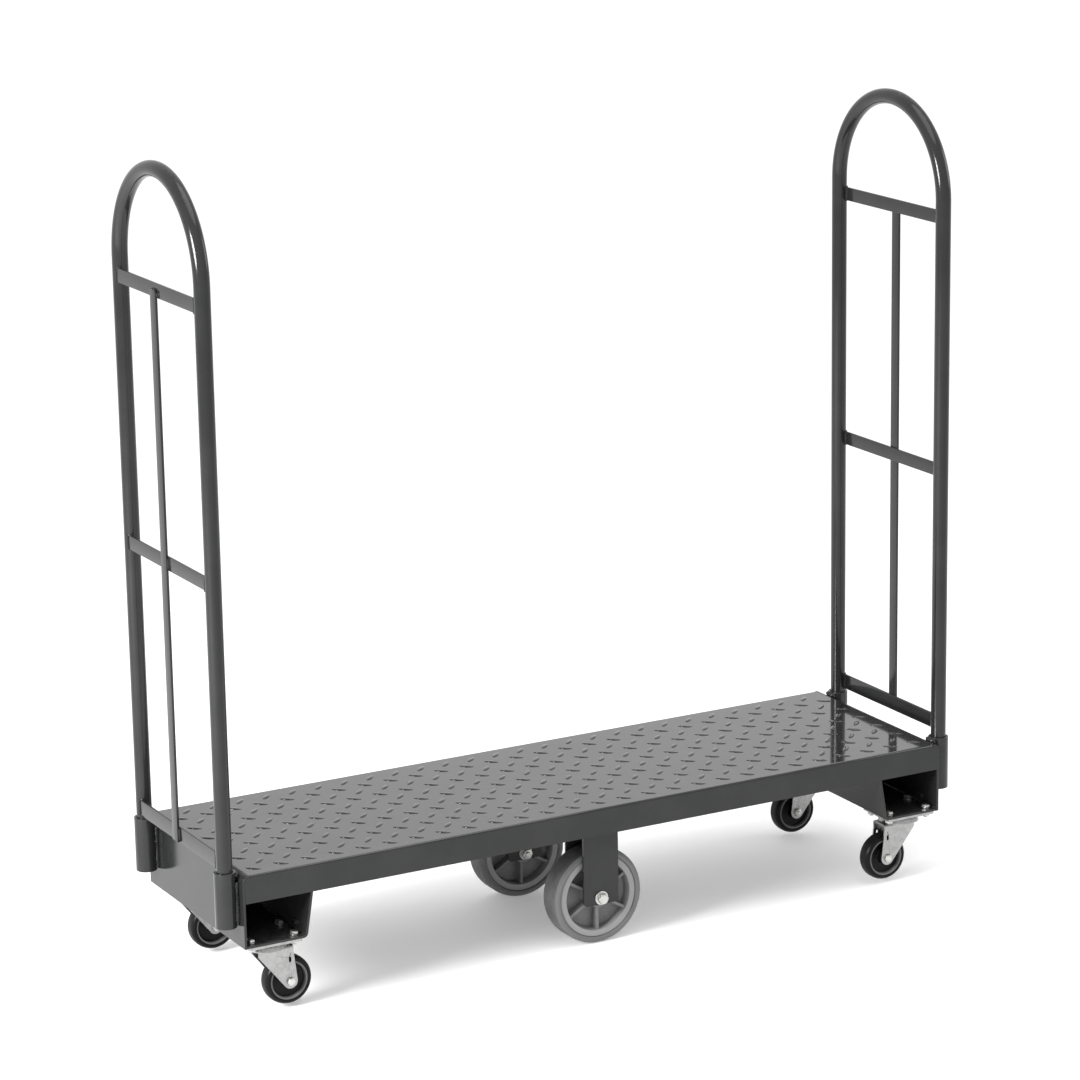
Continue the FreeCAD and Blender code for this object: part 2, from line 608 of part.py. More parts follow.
# ---------------------------------------------------------------- build and write
def main():
    left_end = end_plate()
    save("deck_sheet", deck_sheet_with_skirts(left_end))
    for name, end in ends.items():
        save("end_plate_" + name, flip(left_end, end))
        save("caster_pan_" + name, flip(caster_pan(), end))
    save("cross_angles", cross_angle(-1), cross_angle(1))
    save("deck_ribs", *[deck_rib(end, side) for end in ends.values() for side in sides.values()])
    for side_name, side in sides.items():
        save("wheel_bracket_" + side_name, wheel_bracket(side))
        tyre, core, bush = centre_wheel(side)
        save("centre_tyre_" + side_name, tyre)
        save("centre_core_" + side_name, core)
        save("centre_bush_" + side_name, bush)
        bolt, small = centre_axle(side)
        save("centre_axle_bolt_" + side_name, bolt)
        save("centre_axle_nut_" + side_name, *small)
    balls = []
    for name, end in ends.items():
        beads = []
        for side_name, side in sides.items():
            save("socket_" + name + "_" + side_name, socket(end, side))
            beads += socket_weld(end, side)
            corner = name + "_" + side_name
            x, y = end * kingpin_x, side * caster_track / 2
            save("caster_plate_" + corner, caster_top(x, y))
            save("caster_kingpin_" + corner, kingpin(x, y))
            save("caster_fasteners_" + corner, *caster_fasteners(x, y))
            save("caster_fork_" + corner, fork(x, y, end))
            save("caster_axle_" + corner, *caster_axle(x, y, end))
            tyre, core = caster_wheel(x, y, end)
            save("caster_tyre_" + corner, tyre)
            save("caster_core_" + corner, core)
        balls += [ball for side in sides.values()
                  for ball in caster_balls(end * kingpin_x, side * caster_track / 2)]
        save("socket_welds_" + name, *beads)
        save("handle_tube_" + name, handle_frame(end))
        save("handle_crossbars_" + name, *[crossbar(end, rise, height) for rise, height in crossbar_levels])
        save("handle_upright_" + name, upright_bar(end))
    save("caster_balls", *balls)


main()
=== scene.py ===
import logging
import math
from dataclasses import dataclass
from enum import Enum

import bmesh
import bpy
import numpy as np
from mathutils import Matrix, Vector


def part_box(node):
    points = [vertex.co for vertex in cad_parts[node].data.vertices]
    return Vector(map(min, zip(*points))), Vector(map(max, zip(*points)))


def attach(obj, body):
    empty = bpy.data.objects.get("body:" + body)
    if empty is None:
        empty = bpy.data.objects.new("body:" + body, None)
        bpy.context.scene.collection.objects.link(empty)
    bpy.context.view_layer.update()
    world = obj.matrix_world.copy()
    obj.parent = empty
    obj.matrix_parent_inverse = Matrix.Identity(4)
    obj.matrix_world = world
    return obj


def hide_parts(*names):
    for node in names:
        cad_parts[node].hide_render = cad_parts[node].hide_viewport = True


# Looks of a long, narrow stock cart: tread-plate deck, arched tube handles that lift out of
# sockets, four zinc swivel casters and two larger grey centre wheels. Metres, Z up.

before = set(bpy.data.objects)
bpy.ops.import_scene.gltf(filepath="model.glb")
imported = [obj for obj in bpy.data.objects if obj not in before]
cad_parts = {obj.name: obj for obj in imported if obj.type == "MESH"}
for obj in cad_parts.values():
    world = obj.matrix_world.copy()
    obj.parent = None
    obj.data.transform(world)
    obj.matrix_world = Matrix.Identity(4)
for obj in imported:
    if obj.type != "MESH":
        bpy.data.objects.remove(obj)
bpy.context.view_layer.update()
log = logging.getLogger("stock_cart")

Array = np.ndarray
# A point, a direction or a colour.
Triple = tuple[float, float, float]
ALONG_X: Triple = (1.0, 0.0, 0.0)
ALONG_Y: Triple = (0.0, 1.0, 0.0)
ALONG_Z: Triple = (0.0, 0.0, 1.0)
SHARP_ANGLE = math.radians(38.0)
ENDS = {"left": -1.0, "right": 1.0}
SIDES = {"near": -1.0, "far": 1.0}
FRAME_BODY = "frame"


class Axis(Enum):
    """The line a shape is turned about: two directions across it, then the one along it."""

    Y = (ALONG_X, ALONG_Z, ALONG_Y)
    Z = (ALONG_X, ALONG_Y, ALONG_Z)


class Slot(Enum):
    """The record's material slots."""

    DECK = "deck_paint"
    FRAME = "frame_paint"
    HANDLE = "handle_paint"
    ZINC = "zinc_plate"
    FASTENER = "zinc_fastener"
    BALLS = "bearing_steel"
    BUSH = "bronze"
    CENTRE_RUBBER = "centre_rubber"
    CENTRE_CORE = "centre_core"
    CASTER_RUBBER = "caster_rubber"
    CASTER_CORE = "caster_core"


# ------------------------------------------------------------------ surfaces
def rounded(corners: Array, radius: float | Array, steps: int = 4) -> Array:
    """Rounds the corners of a closed flat outline.

    Each corner b with neighbours a and c becomes the parabola (1-t)^2 p + 2t(1-t) b + t^2 q,
    where p and q lie on the two sides, one radius away from b.

    Args:
        corners: Outline points, shape (n, 2).
        radius: One radius, or one for each corner.
        steps: Pieces that each rounded corner has.

    Returns:
        Outline points, shape (n * (steps + 1), 2).
    """
    reach = np.broadcast_to(np.asarray(radius, float).reshape(-1, 1), (len(corners), 1))

    def toward(other: Array) -> Array:
        """The point one radius from each corner towards the other one."""
        step = other - corners
        return corners + step / np.linalg.norm(step, axis=1, keepdims=True) * reach

    start, stop = toward(np.roll(corners, 1, axis=0)), toward(np.roll(corners, -1, axis=0))
    t = np.linspace(0.0, 1.0, steps + 1)[None, :, None]
    curve = (1 - t) ** 2 * start[:, None] + 2 * t * (1 - t) * corners[:, None] + t**2 * stop[:, None]
    return curve.reshape(-1, 2)


def oblong(width: float, height: float, corner: float, steps: int = 3) -> Array:
    """The outline of a rectangle with rounded corners, centred on zero."""
    half_w, half_h = width / 2, height / 2
    square = np.array([(-half_w, -half_h), (half_w, -half_h), (half_w, half_h), (-half_w, half_h)])
    return rounded(square, corner, steps)


def circle(radius: float, steps: int) -> Array:
    """The outline of a circle, centred on zero."""
    turn = np.linspace(0.0, 2 * np.pi, steps, endpoint=False)
    return radius * np.stack([np.cos(turn), np.sin(turn)], axis=1)


def placed(polar: Array, centre: Triple, axis: Axis, sign: float = 1.0) -> Array:
    """Puts a grid of radius and distance about a line.

    A point is centre + radius (cos u * across_1 + sin u * across_2) + sign * distance * along.

    Args:
        polar: Radius and distance for each ring and angle, shape (n, m, 2).
        centre: A point on the line.
        axis: The line's direction.
        sign: -1 measures the distances backwards.

    Returns:
        Points, shape (n, m, 3).
    """
    first, second, along = (np.array(direction) for direction in axis.value)
    turn = np.linspace(0.0, 2 * np.pi, polar.shape[1], endpoint=False)[:, None]
    ring = np.cos(turn) * first + np.sin(turn) * second
    return np.array(centre) + polar[..., :1] * ring[None] + sign * polar[..., 1:] * along


def turned(profile: Array, centre: Triple, axis: Axis, sign: float = 1.0, steps: int = 64) -> Array:
    """Turns a profile, pairs of radius and distance, about a line in steps, as placed does."""
    return placed(np.repeat(profile[:, None], steps, axis=1), centre, axis, sign)


def mirrored(half: list[Triple], steps: int, foot: list[Triple] | None = None,
             crown: list[Triple] | None = None) -> Array:
    """A closed section that is alike on both sides of distance zero.

    Args:
        half: Radius, distance and rounding of each corner on one side.
        steps: Pieces that each rounded corner has.
        foot: The corner at distance zero that comes first, if there is one.
        crown: The corner at distance zero between the two sides, if there is one.

    Returns:
        Outline points, pairs of radius and distance.
    """
    other = [(radius, -distance, soft) for radius, distance, soft in half[::-1]]
    corners = np.array((foot or []) + half + (crown or []) + other)
    return rounded(corners[:, :2], corners[:, 2], steps)


def swept(path: Array, section: Array, side: Array, up: Array, swell: Array | None = None) -> Array:
    """Carries a flat section along a path.

    A point is path(s) + swell(s) (section_x * side(s) + section_y * up(s)).

    Args:
        path: Points of the path, shape (n, 3).
        section: Points of the section, shape (m, 2).
        side: The section's first direction, one or one per path point.
        up: The section's second direction, one or one per path point.
        swell: Size of the section at each path point.

    Returns:
        Points, shape (n, m, 3).
    """
    side, up = np.broadcast_to(side, path.shape), np.broadcast_to(up, path.shape)
    size = np.ones(len(path)) if swell is None else swell
    flat = section[None, :, 0, None] * side[:, None] + section[None, :, 1, None] * up[:, None]
    return path[:, None] + size[:, None, None] * flat


def capped(rings: Array) -> Array:
    """Adds a first and a last ring that are shrunk to the middle of the end rings."""
    first = np.repeat(rings[:1].mean(axis=1, keepdims=True), rings.shape[1], axis=1)
    last = np.repeat(rings[-1:].mean(axis=1, keepdims=True), rings.shape[1], axis=1)
    return np.concatenate([first, rings, last])


def hexagon_radius(turn: Array, across: float) -> Array:
    """Distance to a hexagon's side: half the width across flats over cos(turn mod 60 - 30 degrees)."""
    sixth = np.pi / 3
    return across / 2 / np.cos(np.mod(turn, sixth) - sixth / 2)


def bolt_head(across: float, height: float, steps: int = 36) -> Array:
    """A hexagon head or nut as radius by height and angle.

    The radius is the hexagon's, limited near both faces by a cone that cuts the corners off.

    Args:
        across: Width across flats.
        height: Height of the hexagon.
        steps: Points in each ring; a multiple of six puts points on the corners.

    Returns:
        Radius and distance for each ring and angle, shape (n, steps, 2).
    """
    turn = np.linspace(0.0, 2 * np.pi, steps, endpoint=False)
    level = np.array([0.0, 0.0, 0.06, 0.12, 0.25, 0.75, 0.88, 0.94, 1.0, 1.0]) * height
    edge = np.minimum(level, height - level)
    face_radius, slope = across * 0.47, 1.9
    cone = face_radius + edge * slope
    radius = np.minimum(hexagon_radius(turn, across)[None], cone[:, None])
    radius[0], radius[-1] = 0.0, 0.0
    return np.stack([radius, np.broadcast_to(level[:, None], radius.shape)], axis=-1)


def threaded(radius: float, length: float, pitch: float, steps: int = 24) -> Array:
    """A bolt's end with its thread.

    The radius is the bolt's less a triangle wave of distance / pitch - turn / 360 degrees.

    Args:
        radius: Outer radius of the thread.
        length: Length of the threaded end.
        pitch: Distance between two turns.
        steps: Points in each ring.

    Returns:
        Radius and distance for each ring and angle, shape (n, steps, 2).
    """
    turn = np.linspace(0.0, 2 * np.pi, steps, endpoint=False)
    along = np.linspace(0.0, length, max(4, int(6 * length / pitch)))
    wave = np.abs(2 * np.mod(along[:, None] / pitch - turn[None] / (2 * np.pi), 1.0) - 1.0)
    depth = 0.5 * pitch * wave
    taper = np.clip((length - along) / (0.6 * pitch), 0.0, 1.0)[:, None]
    grown = radius - depth * taper - 0.55 * pitch * (1.0 - taper)
    rings = np.concatenate([np.zeros((1, steps)), grown, np.zeros((1, steps))])
    levels = np.concatenate([along[:1], along, along[-1:]])
    return np.stack([rings, np.broadcast_to(levels[:, None], rings.shape)], axis=-1)


class Surface:
    """Grids of points gathered into one mesh."""

    def __init__(self) -> None:
        """Starts with no points."""
        self._points: list[Array] = []
        self._quads: list[Array] = []
        self._marks: list[Array] = []
        self._count = 0

    def grid(self, points: Array, around: bool = True, along: bool = False,
             mark: Array | float = 0.0) -> "Surface":
        """Adds a grid of points as quads.

        Args:
            points: Points, shape (rows, columns, 3).
            around: The last column joins the first.
            along: The last row joins the first.
            mark: Value of the mark attribute, one for all points or one for each row.

        Returns:
            The surface itself.
        """
        rows, columns = points.shape[:2]
        i, j = np.meshgrid(np.arange(rows if along else rows - 1),
                           np.arange(columns if around else columns - 1), indexing="ij")
        i_next, j_next = (i + 1) % rows, (j + 1) % columns
        quads = np.stack([i * columns + j, i * columns + j_next,
                          i_next * columns + j_next, i_next * columns + j], axis=-1)
        self._quads.append(quads.reshape(-1, 4) + self._count)
        self._points.append(points.reshape(-1, 3))
        marks = np.broadcast_to(np.reshape(mark, (-1, 1)), (rows, columns))
        self._marks.append(marks.reshape(-1))
        self._count += rows * columns
        return self

    def copies(self, points: Array, places: Array) -> "Surface":
        """Adds one closed grid at each place, by adding the place to every point."""
        for place in places:
            self.grid(points + place)
        return self

    def piece(self, name: str, body: str, slot: Slot, finishes: "Finishes", replaces: str = "",
              crease: float = SHARP_ANGLE) -> None:
        """Args:
            name: Name of the piece.
            body: CAD body that it rides on.
            slot: Record slot of its finish.
            finishes: The materials.
            replaces: CAD node that it stands for, if it stands for one.
            crease: Edges that turn by more than this stay sharp, in radians.
        """
        mesh = bpy.data.meshes.new(name)
        mesh.from_pydata(np.concatenate(self._points), [], np.concatenate(self._quads))
        marks = mesh.attributes.new("mark", "FLOAT", "POINT")
        marks.data.foreach_set("value", np.concatenate(self._marks).astype(np.float32))
        work = bmesh.new()
        work.from_mesh(mesh)
        bmesh.ops.remove_doubles(work, verts=work.verts, dist=1e-6)
        bmesh.ops.recalc_face_normals(work, faces=work.faces)
        work.to_mesh(mesh)
        work.free()
        mesh.polygons.foreach_set("use_smooth", np.ones(len(mesh.polygons), bool))
        mesh.set_sharp_from_angle(angle=crease)
        obj = bpy.data.objects.new(name, mesh)
        bpy.context.scene.collection.objects.link(obj)
        obj.data.materials.append(finishes[slot])
        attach(obj, body)
        if replaces:
            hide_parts(replaces)
        log.info("%s: %d faces on %s", name, len(mesh.polygons), body)


# ------------------------------------------------------------------ shader building
class Wire:
    """A node's output socket with arithmetic."""

    def __init__(self, tree: "Shader", socket: bpy.types.NodeSocket) -> None:
        """Keeps the tree and the socket."""
        self.tree = tree
        self.socket = socket

    def _math(self, operation: str, *values: "Wire | float") -> "Wire":
        """Adds one Math node."""
        return self.tree.node("ShaderNodeMath", {"operation": operation}, dict(enumerate(values)))

    def __add__(self, other: "Wire | float") -> "Wire":
        """self + other."""
        return self._math("ADD", self, other)

    __radd__ = __add__

    def __mul__(self, other: "Wire | float") -> "Wire":
        """self * other."""
        return self._math("MULTIPLY", self, other)

    __rmul__ = __mul__

    def ramp(self, low: float, high: float) -> "Wire":
        """0 below low and 1 above high, smooth between."""
        return self.tree.node("ShaderNodeMapRange", {"interpolation_type": "SMOOTHSTEP"},
                              {"Value": self, "From Min": low, "From Max": high})


class Shader:
    """A material's node tree with one Principled shader."""

    def __init__(self, name: str) -> None:
        """Makes the material and empties its tree."""
        self.material = bpy.data.materials.new(name)
        self.material.use_nodes = True
        self._tree = self.material.node_tree
        self._tree.nodes.clear()

    def node(self, kind: str, settings: dict[str, object] | None = None,
             inputs: dict[str | int, object] | None = None, output: str | int | None = 0) -> Wire | None:
        """Adds any node.

        Args:
            kind: The node's type.
            settings: Properties, which are set first.
            inputs: Values or wires by socket name or number.
            output: The output to return, or None for a node that has none.

        Returns:
            That output, ready for arithmetic, or None.
        """
        node = self._tree.nodes.new(kind)
        for key, value in (settings or {}).items():
            setattr(node, key, value)
        for key, value in (inputs or {}).items():
            if isinstance(value, Wire):
                self._tree.links.new(value.socket, node.inputs[key])
            else:
                node.inputs[key].default_value = value
        return None if output is None else Wire(self, node.outputs[output])

    def place(self) -> Wire:
        """The point in the row frame."""
        return self.node("ShaderNodeTexCoord", output="Object")

    def noise(self, size: float, detail: float = 3.0, rough: float = 0.5,
              stretch: Triple = (1.0, 1.0, 1.0)) -> Wire:
        """Cloudy noise between 0 and 1.

        Args:
            size: Size of its larger features, in metres.
            detail: Finer layers.
            rough: Strength of the finer layers.
            stretch: How much finer it is along each axis.

        Returns:
            The noise.
        """
        where = self.node("ShaderNodeMapping", {"vector_type": "POINT"},
                          {"Vector": self.place(), "Scale": stretch})
        return self.node("ShaderNodeTexNoise", {"noise_dimensions": "3D"},
                         {"Vector": where, "Scale": 1.0 / size, "Detail": detail, "Roughness": rough})

    def blend(self, mask: Wire, low: tuple[float, ...] | Wire, high: tuple[float, ...] | Wire) -> Wire:
        """A colour between two colours."""
        return self.node("ShaderNodeMix", {"data_type": "RGBA"},
                         {0: mask, 6: low if isinstance(low, Wire) else (*low, 1.0),
                          7: high if isinstance(high, Wire) else (*high, 1.0)}, output=2)

    def upward(self) -> Wire:
        """How far the surface faces up, from 0 to 1."""
        normal = self.node("ShaderNodeNewGeometry", output="Normal")
        return self.node("ShaderNodeSeparateXYZ", inputs={0: normal}, output="Z").ramp(0.5, 1.0)

    def mark(self) -> Wire:
        """The mesh's own mark attribute, 0 where it has none."""
        return self.node("ShaderNodeAttribute", {"attribute_name": "mark"}, output="Fac")

    def bump(self, height: Wire, depth: float, strength: float = 1.0) -> Wire:
        """A normal from a height in metres of depth."""
        return self.node("ShaderNodeBump", inputs={"Strength": strength, "Distance": depth, "Height": height})

    def finish(self, colour: Wire, roughness: Wire, normal: Wire, **fixed: object) -> bpy.types.Material:
        """Joins everything to the Principled shader.

        Args:
            colour: Base colour.
            roughness: Roughness.
            normal: Normal.
            fixed: Other inputs by name, with underscores for spaces.

        Returns:
            The material.
        """
        inputs = {"Base Color": colour, "Roughness": roughness, "Normal": normal}
        inputs.update({key.replace("_", " "): value for key, value in fixed.items()})
        shader = self.node("ShaderNodeBsdfPrincipled", inputs=inputs)
        self.node("ShaderNodeOutputMaterial", inputs={"Surface": shader}, output=None)
        return self.material


# ------------------------------------------------------------------ finishes
@dataclass(frozen=True)
class PowderCoat:
    """Dark grey gloss powder coat: cloudy gloss, orange peel, a little dust where it faces up."""

    name: str
    colour: Triple = (0.0145, 0.0152, 0.0150)
    cloud: Triple = (0.0190, 0.0196, 0.0194)
    roughness: float = 0.12
    coat: float = 0.0
    peel_size: float = 0.0022
    peel_depth: float = 0.00006
    dust: float = 0.10

    def material(self) -> bpy.types.Material:
        """Builds the material."""
        tree = Shader(self.name)
        cloud, fine = tree.noise(0.11, detail=4.0, rough=0.6), tree.noise(0.012, detail=4.0, rough=0.65)
        dust = tree.upward() * fine.ramp(0.42, 0.75) * self.dust
        colour = tree.blend(cloud.ramp(0.35, 0.65), self.colour, self.cloud)
        colour = tree.blend(dust, colour, (0.24, 0.23, 0.21))
        scuffed = tree.noise(0.05, detail=6.0, rough=0.7, stretch=(1.0, 7.0, 1.0)).ramp(0.60, 0.72)
        roughness = self.roughness + 0.05 * cloud + 0.35 * dust + 0.05 * scuffed
        peel = tree.noise(self.peel_size, detail=2.0, rough=0.5)
        return tree.finish(colour, roughness, tree.bump(peel, self.peel_depth, 0.55), Specular_IOR_Level=0.32,
                           Coat_Weight=tree.upward() * self.coat, Coat_Roughness=0.05)


@dataclass(frozen=True)
class ZincPlate:
    """Bright zinc plate: soft blotches, drawn streaks and fine pits."""

    name: str
    bright: Triple = (0.36, 0.36, 0.36)
    dull: Triple = (0.27, 0.27, 0.265)
    roughness: float = 0.18

    def material(self) -> bpy.types.Material:
        """Builds the material."""
        tree = Shader(self.name)
        blotch = tree.noise(0.014, detail=5.0, rough=0.65)
        streak = tree.noise(0.004, detail=3.0, rough=0.6, stretch=(1.0, 1.0, 9.0))
        pits = tree.noise(0.0009, detail=3.0, rough=0.6)
        colour = tree.blend(blotch.ramp(0.3, 0.7), self.dull, self.bright)
        roughness = self.roughness + 0.16 * blotch.ramp(0.35, 0.75) + 0.08 * streak
        height = 0.6 * pits + 0.4 * streak
        return tree.finish(colour, roughness, tree.bump(height, 0.00008, 0.5), Metallic=1.0)


@dataclass(frozen=True)
class MouldedRubber:
    """Moulded rubber: fine grain, and a patchy, rougher tread of its own colour where the mark attribute is
    set: rubbed rubber on the black caster tyre, painted shade darker than the walls on the grey centre tyre.
    """

    name: str
    colour: Triple
    # scuffed: the tread's colour; rubbed rubber on the black caster tyre, painted shade darker than the walls
    # on the grey centre tyre
    scuffed: Triple
    roughness: float
    grain: float = 0.0007
    gloss: float = 0.4

    def material(self) -> bpy.types.Material:
        """Builds the material."""
        tree = Shader(self.name)
        patch, grain = tree.noise(0.03, detail=5.0, rough=0.65), tree.noise(self.grain, detail=3.0, rough=0.6)
        # Tread mask in patches: it carries the tread colour (painted shade on the grey tyre) and the rougher
        # rubbed finish
        tread_wear_and_shade = tree.mark() * (0.45 + 0.55 * patch.ramp(0.35, 0.7))
        colour = tree.blend(tread_wear_and_shade, tree.blend(patch, self.colour, tuple(c * 1.25 for c in self.colour)),
                            self.scuffed)
        roughness = self.roughness + 0.10 * patch + 0.25 * tread_wear_and_shade
        return tree.finish(colour, roughness, tree.bump(grain, 0.00012, 0.6),
                           Specular_IOR_Level=self.gloss)


@dataclass(frozen=True)
class MouldedCore:
    """Moulded plastic: faint flow marks, fine texture, paler where the mark attribute is set."""

    name: str
    colour: Triple
    pale: Triple
    ring: Triple
    roughness: float
    gloss: float = 0.4

    def material(self) -> bpy.types.Material:
        """Builds the material."""
        tree = Shader(self.name)
        flow, grain = tree.noise(0.02, detail=4.0, rough=0.6), tree.noise(0.0011, detail=3.0, rough=0.55)
        colour = tree.blend(flow.ramp(0.3, 0.75), self.colour, self.pale)
        colour = tree.blend(tree.mark(), colour, self.ring)
        roughness = self.roughness + 0.12 * flow
        return tree.finish(colour, roughness, tree.bump(grain, 0.00008, 0.5),
                           Specular_IOR_Level=self.gloss)


@dataclass(frozen=True)
class PlainMetal:
    """Turned metal with fine rings of tool marks and small stains."""

    name: str
    colour: Triple
    stain: Triple
    roughness: float

    def material(self) -> bpy.types.Material:
        """Builds the material."""
        tree = Shader(self.name)
        stain = tree.noise(0.008, detail=4.0, rough=0.7)
        marks = tree.noise(0.0016, detail=2.0, rough=0.5, stretch=(1.0, 8.0, 1.0))
        colour = tree.blend(stain.ramp(0.45, 0.8), self.colour, self.stain)
        roughness = self.roughness + 0.15 * stain
        return tree.finish(colour, roughness, tree.bump(marks, 0.00004, 0.5), Metallic=1.0)


class Finishes:
    """Every material of the cart, made once."""

    def __init__(self) -> None:
        """Builds the materials by slot."""
        self.by_slot = {
            Slot.DECK: PowderCoat("deck_powder_coat", roughness=0.07, peel_depth=0.00002,
                                  dust=0.05, coat=0.58).material(),
            Slot.FRAME: PowderCoat("frame_powder_coat").material(),
            Slot.HANDLE: PowderCoat("handle_powder_coat", (0.0125, 0.0130, 0.0128), (0.0165, 0.0170, 0.0168),
                                    roughness=0.10).material(),
            Slot.ZINC: ZincPlate("zinc_sheet").material(),
            Slot.FASTENER: ZincPlate("zinc_bolt", (0.58, 0.58, 0.57), (0.44, 0.44, 0.42), 0.26).material(),
            Slot.BALLS: PlainMetal("bearing_balls", (0.62, 0.62, 0.63), (0.4, 0.38, 0.34), 0.12).material(),
            Slot.BUSH: PlainMetal("sintered_bronze", (0.48, 0.32, 0.14), (0.22, 0.15, 0.08), 0.38).material(),
            # The grey tyre's tread colour (0.075) is darker than its walls (0.105): painted shade on the
            # tread.
            Slot.CENTRE_RUBBER: MouldedRubber("grey_tyre", (0.105, 0.106, 0.106), (0.075, 0.075, 0.074),
                                              0.40).material(),
            Slot.CENTRE_CORE: MouldedCore("grey_wheel_core", (0.125, 0.125, 0.126), (0.155, 0.155, 0.155),
                                          (0.24, 0.24, 0.24), 0.34).material(),
            Slot.CASTER_RUBBER: MouldedRubber("black_tyre", (0.0035, 0.0035, 0.0040), (0.011, 0.011, 0.0105),
                                              0.26, gloss=0.13).material(),
            Slot.CASTER_CORE: MouldedCore("black_wheel_core", (0.004, 0.004, 0.005), (0.007, 0.007, 0.008),
                                          (0.12, 0.12, 0.12), 0.28, gloss=0.12).material(),
        }

    def __getitem__(self, slot: Slot) -> bpy.types.Material:
        """The material of a slot."""
        return self.by_slot[slot]

    def dress(self, node: str, slot: Slot, edge: float = 0.0, segments: int = 2) -> None:
        """Gives a CAD node its material and, if asked, softened edges.

        Args:
            node: The CAD node.
            slot: The slot whose material it takes.
            edge: Width of the softened edge, 0 for none.
            segments: Pieces across the softened edge.
        """
        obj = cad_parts[node]
        obj.data.materials.clear()
        obj.data.materials.append(self[slot])
        weld = obj.modifiers.new("join_seams", "WELD")
        weld.merge_threshold = 2e-6
        if edge:
            bevel = obj.modifiers.new("soft_edges", "BEVEL")
            bevel.width, bevel.segments = edge, segments
            bevel.limit_method, bevel.angle_limit = "ANGLE", math.radians(38.0)
            bevel.harden_normals = True
        log.info("%s: dressed in %s", node, self[slot].name)


# ------------------------------------------------------------------ welds
@dataclass(frozen=True)
class WeldBead:
    """A run of weld: a round bead that swells at every ripple and wanders a little."""

    radius: float = 0.0032
    ripple: float = 0.0026
    lumps: float = 0.16
    section_steps: int = 10

    def run(self, surface: Surface, corners: Array, side: Triple, phase: float = 0.0,
            closed: bool = False) -> None:
        """Adds one bead along a line.

        The radius is r (1 + lumps (|sin(pi s / ripple)| - 1/2) + slow waves of s).

        Args:
            surface: Surface that takes the bead.
            corners: Points of the line, shape (n, 3).
            side: A direction that is never along the line.
            phase: Shifts the slow waves, so that no two beads are alike.
            closed: The line returns to its start.
        """
        if closed:
            corners = np.concatenate([corners, corners[:1]])
        runs = np.linalg.norm(np.diff(corners, axis=0), axis=1)
        total = runs.sum()
        count = max(6, int(total / self.ripple * 4))
        along = np.linspace(0.0, total, count, endpoint=not closed)
        measured = np.concatenate([[0.0], np.cumsum(runs)])
        path = np.stack([np.interp(along, measured, corners[:, k]) for k in range(3)], axis=1)
        heading = np.gradient(path, axis=0)
        heading /= np.linalg.norm(heading, axis=1, keepdims=True)
        up = np.cross(heading, np.array(side))
        up /= np.linalg.norm(up, axis=1, keepdims=True)
        across = np.cross(up, heading)
        slow = 0.10 * np.sin(along / 0.011 + phase) + 0.07 * np.sin(along / 0.0047 + 2.3 * phase)
        swell = 1.0 + self.lumps * (np.abs(np.sin(np.pi * along / self.ripple)) - 0.5) + slow
        if not closed:
            ends = np.minimum(along, total - along) / self.radius
            swell = swell * np.sqrt(np.clip(ends * (2.0 - np.minimum(ends, 1.0)) + 0.15, 0.15, 1.0))
        rings = swept(path, circle(self.radius, self.section_steps), across, up, swell)
        surface.grid(rings if closed else capped(rings), along=closed)


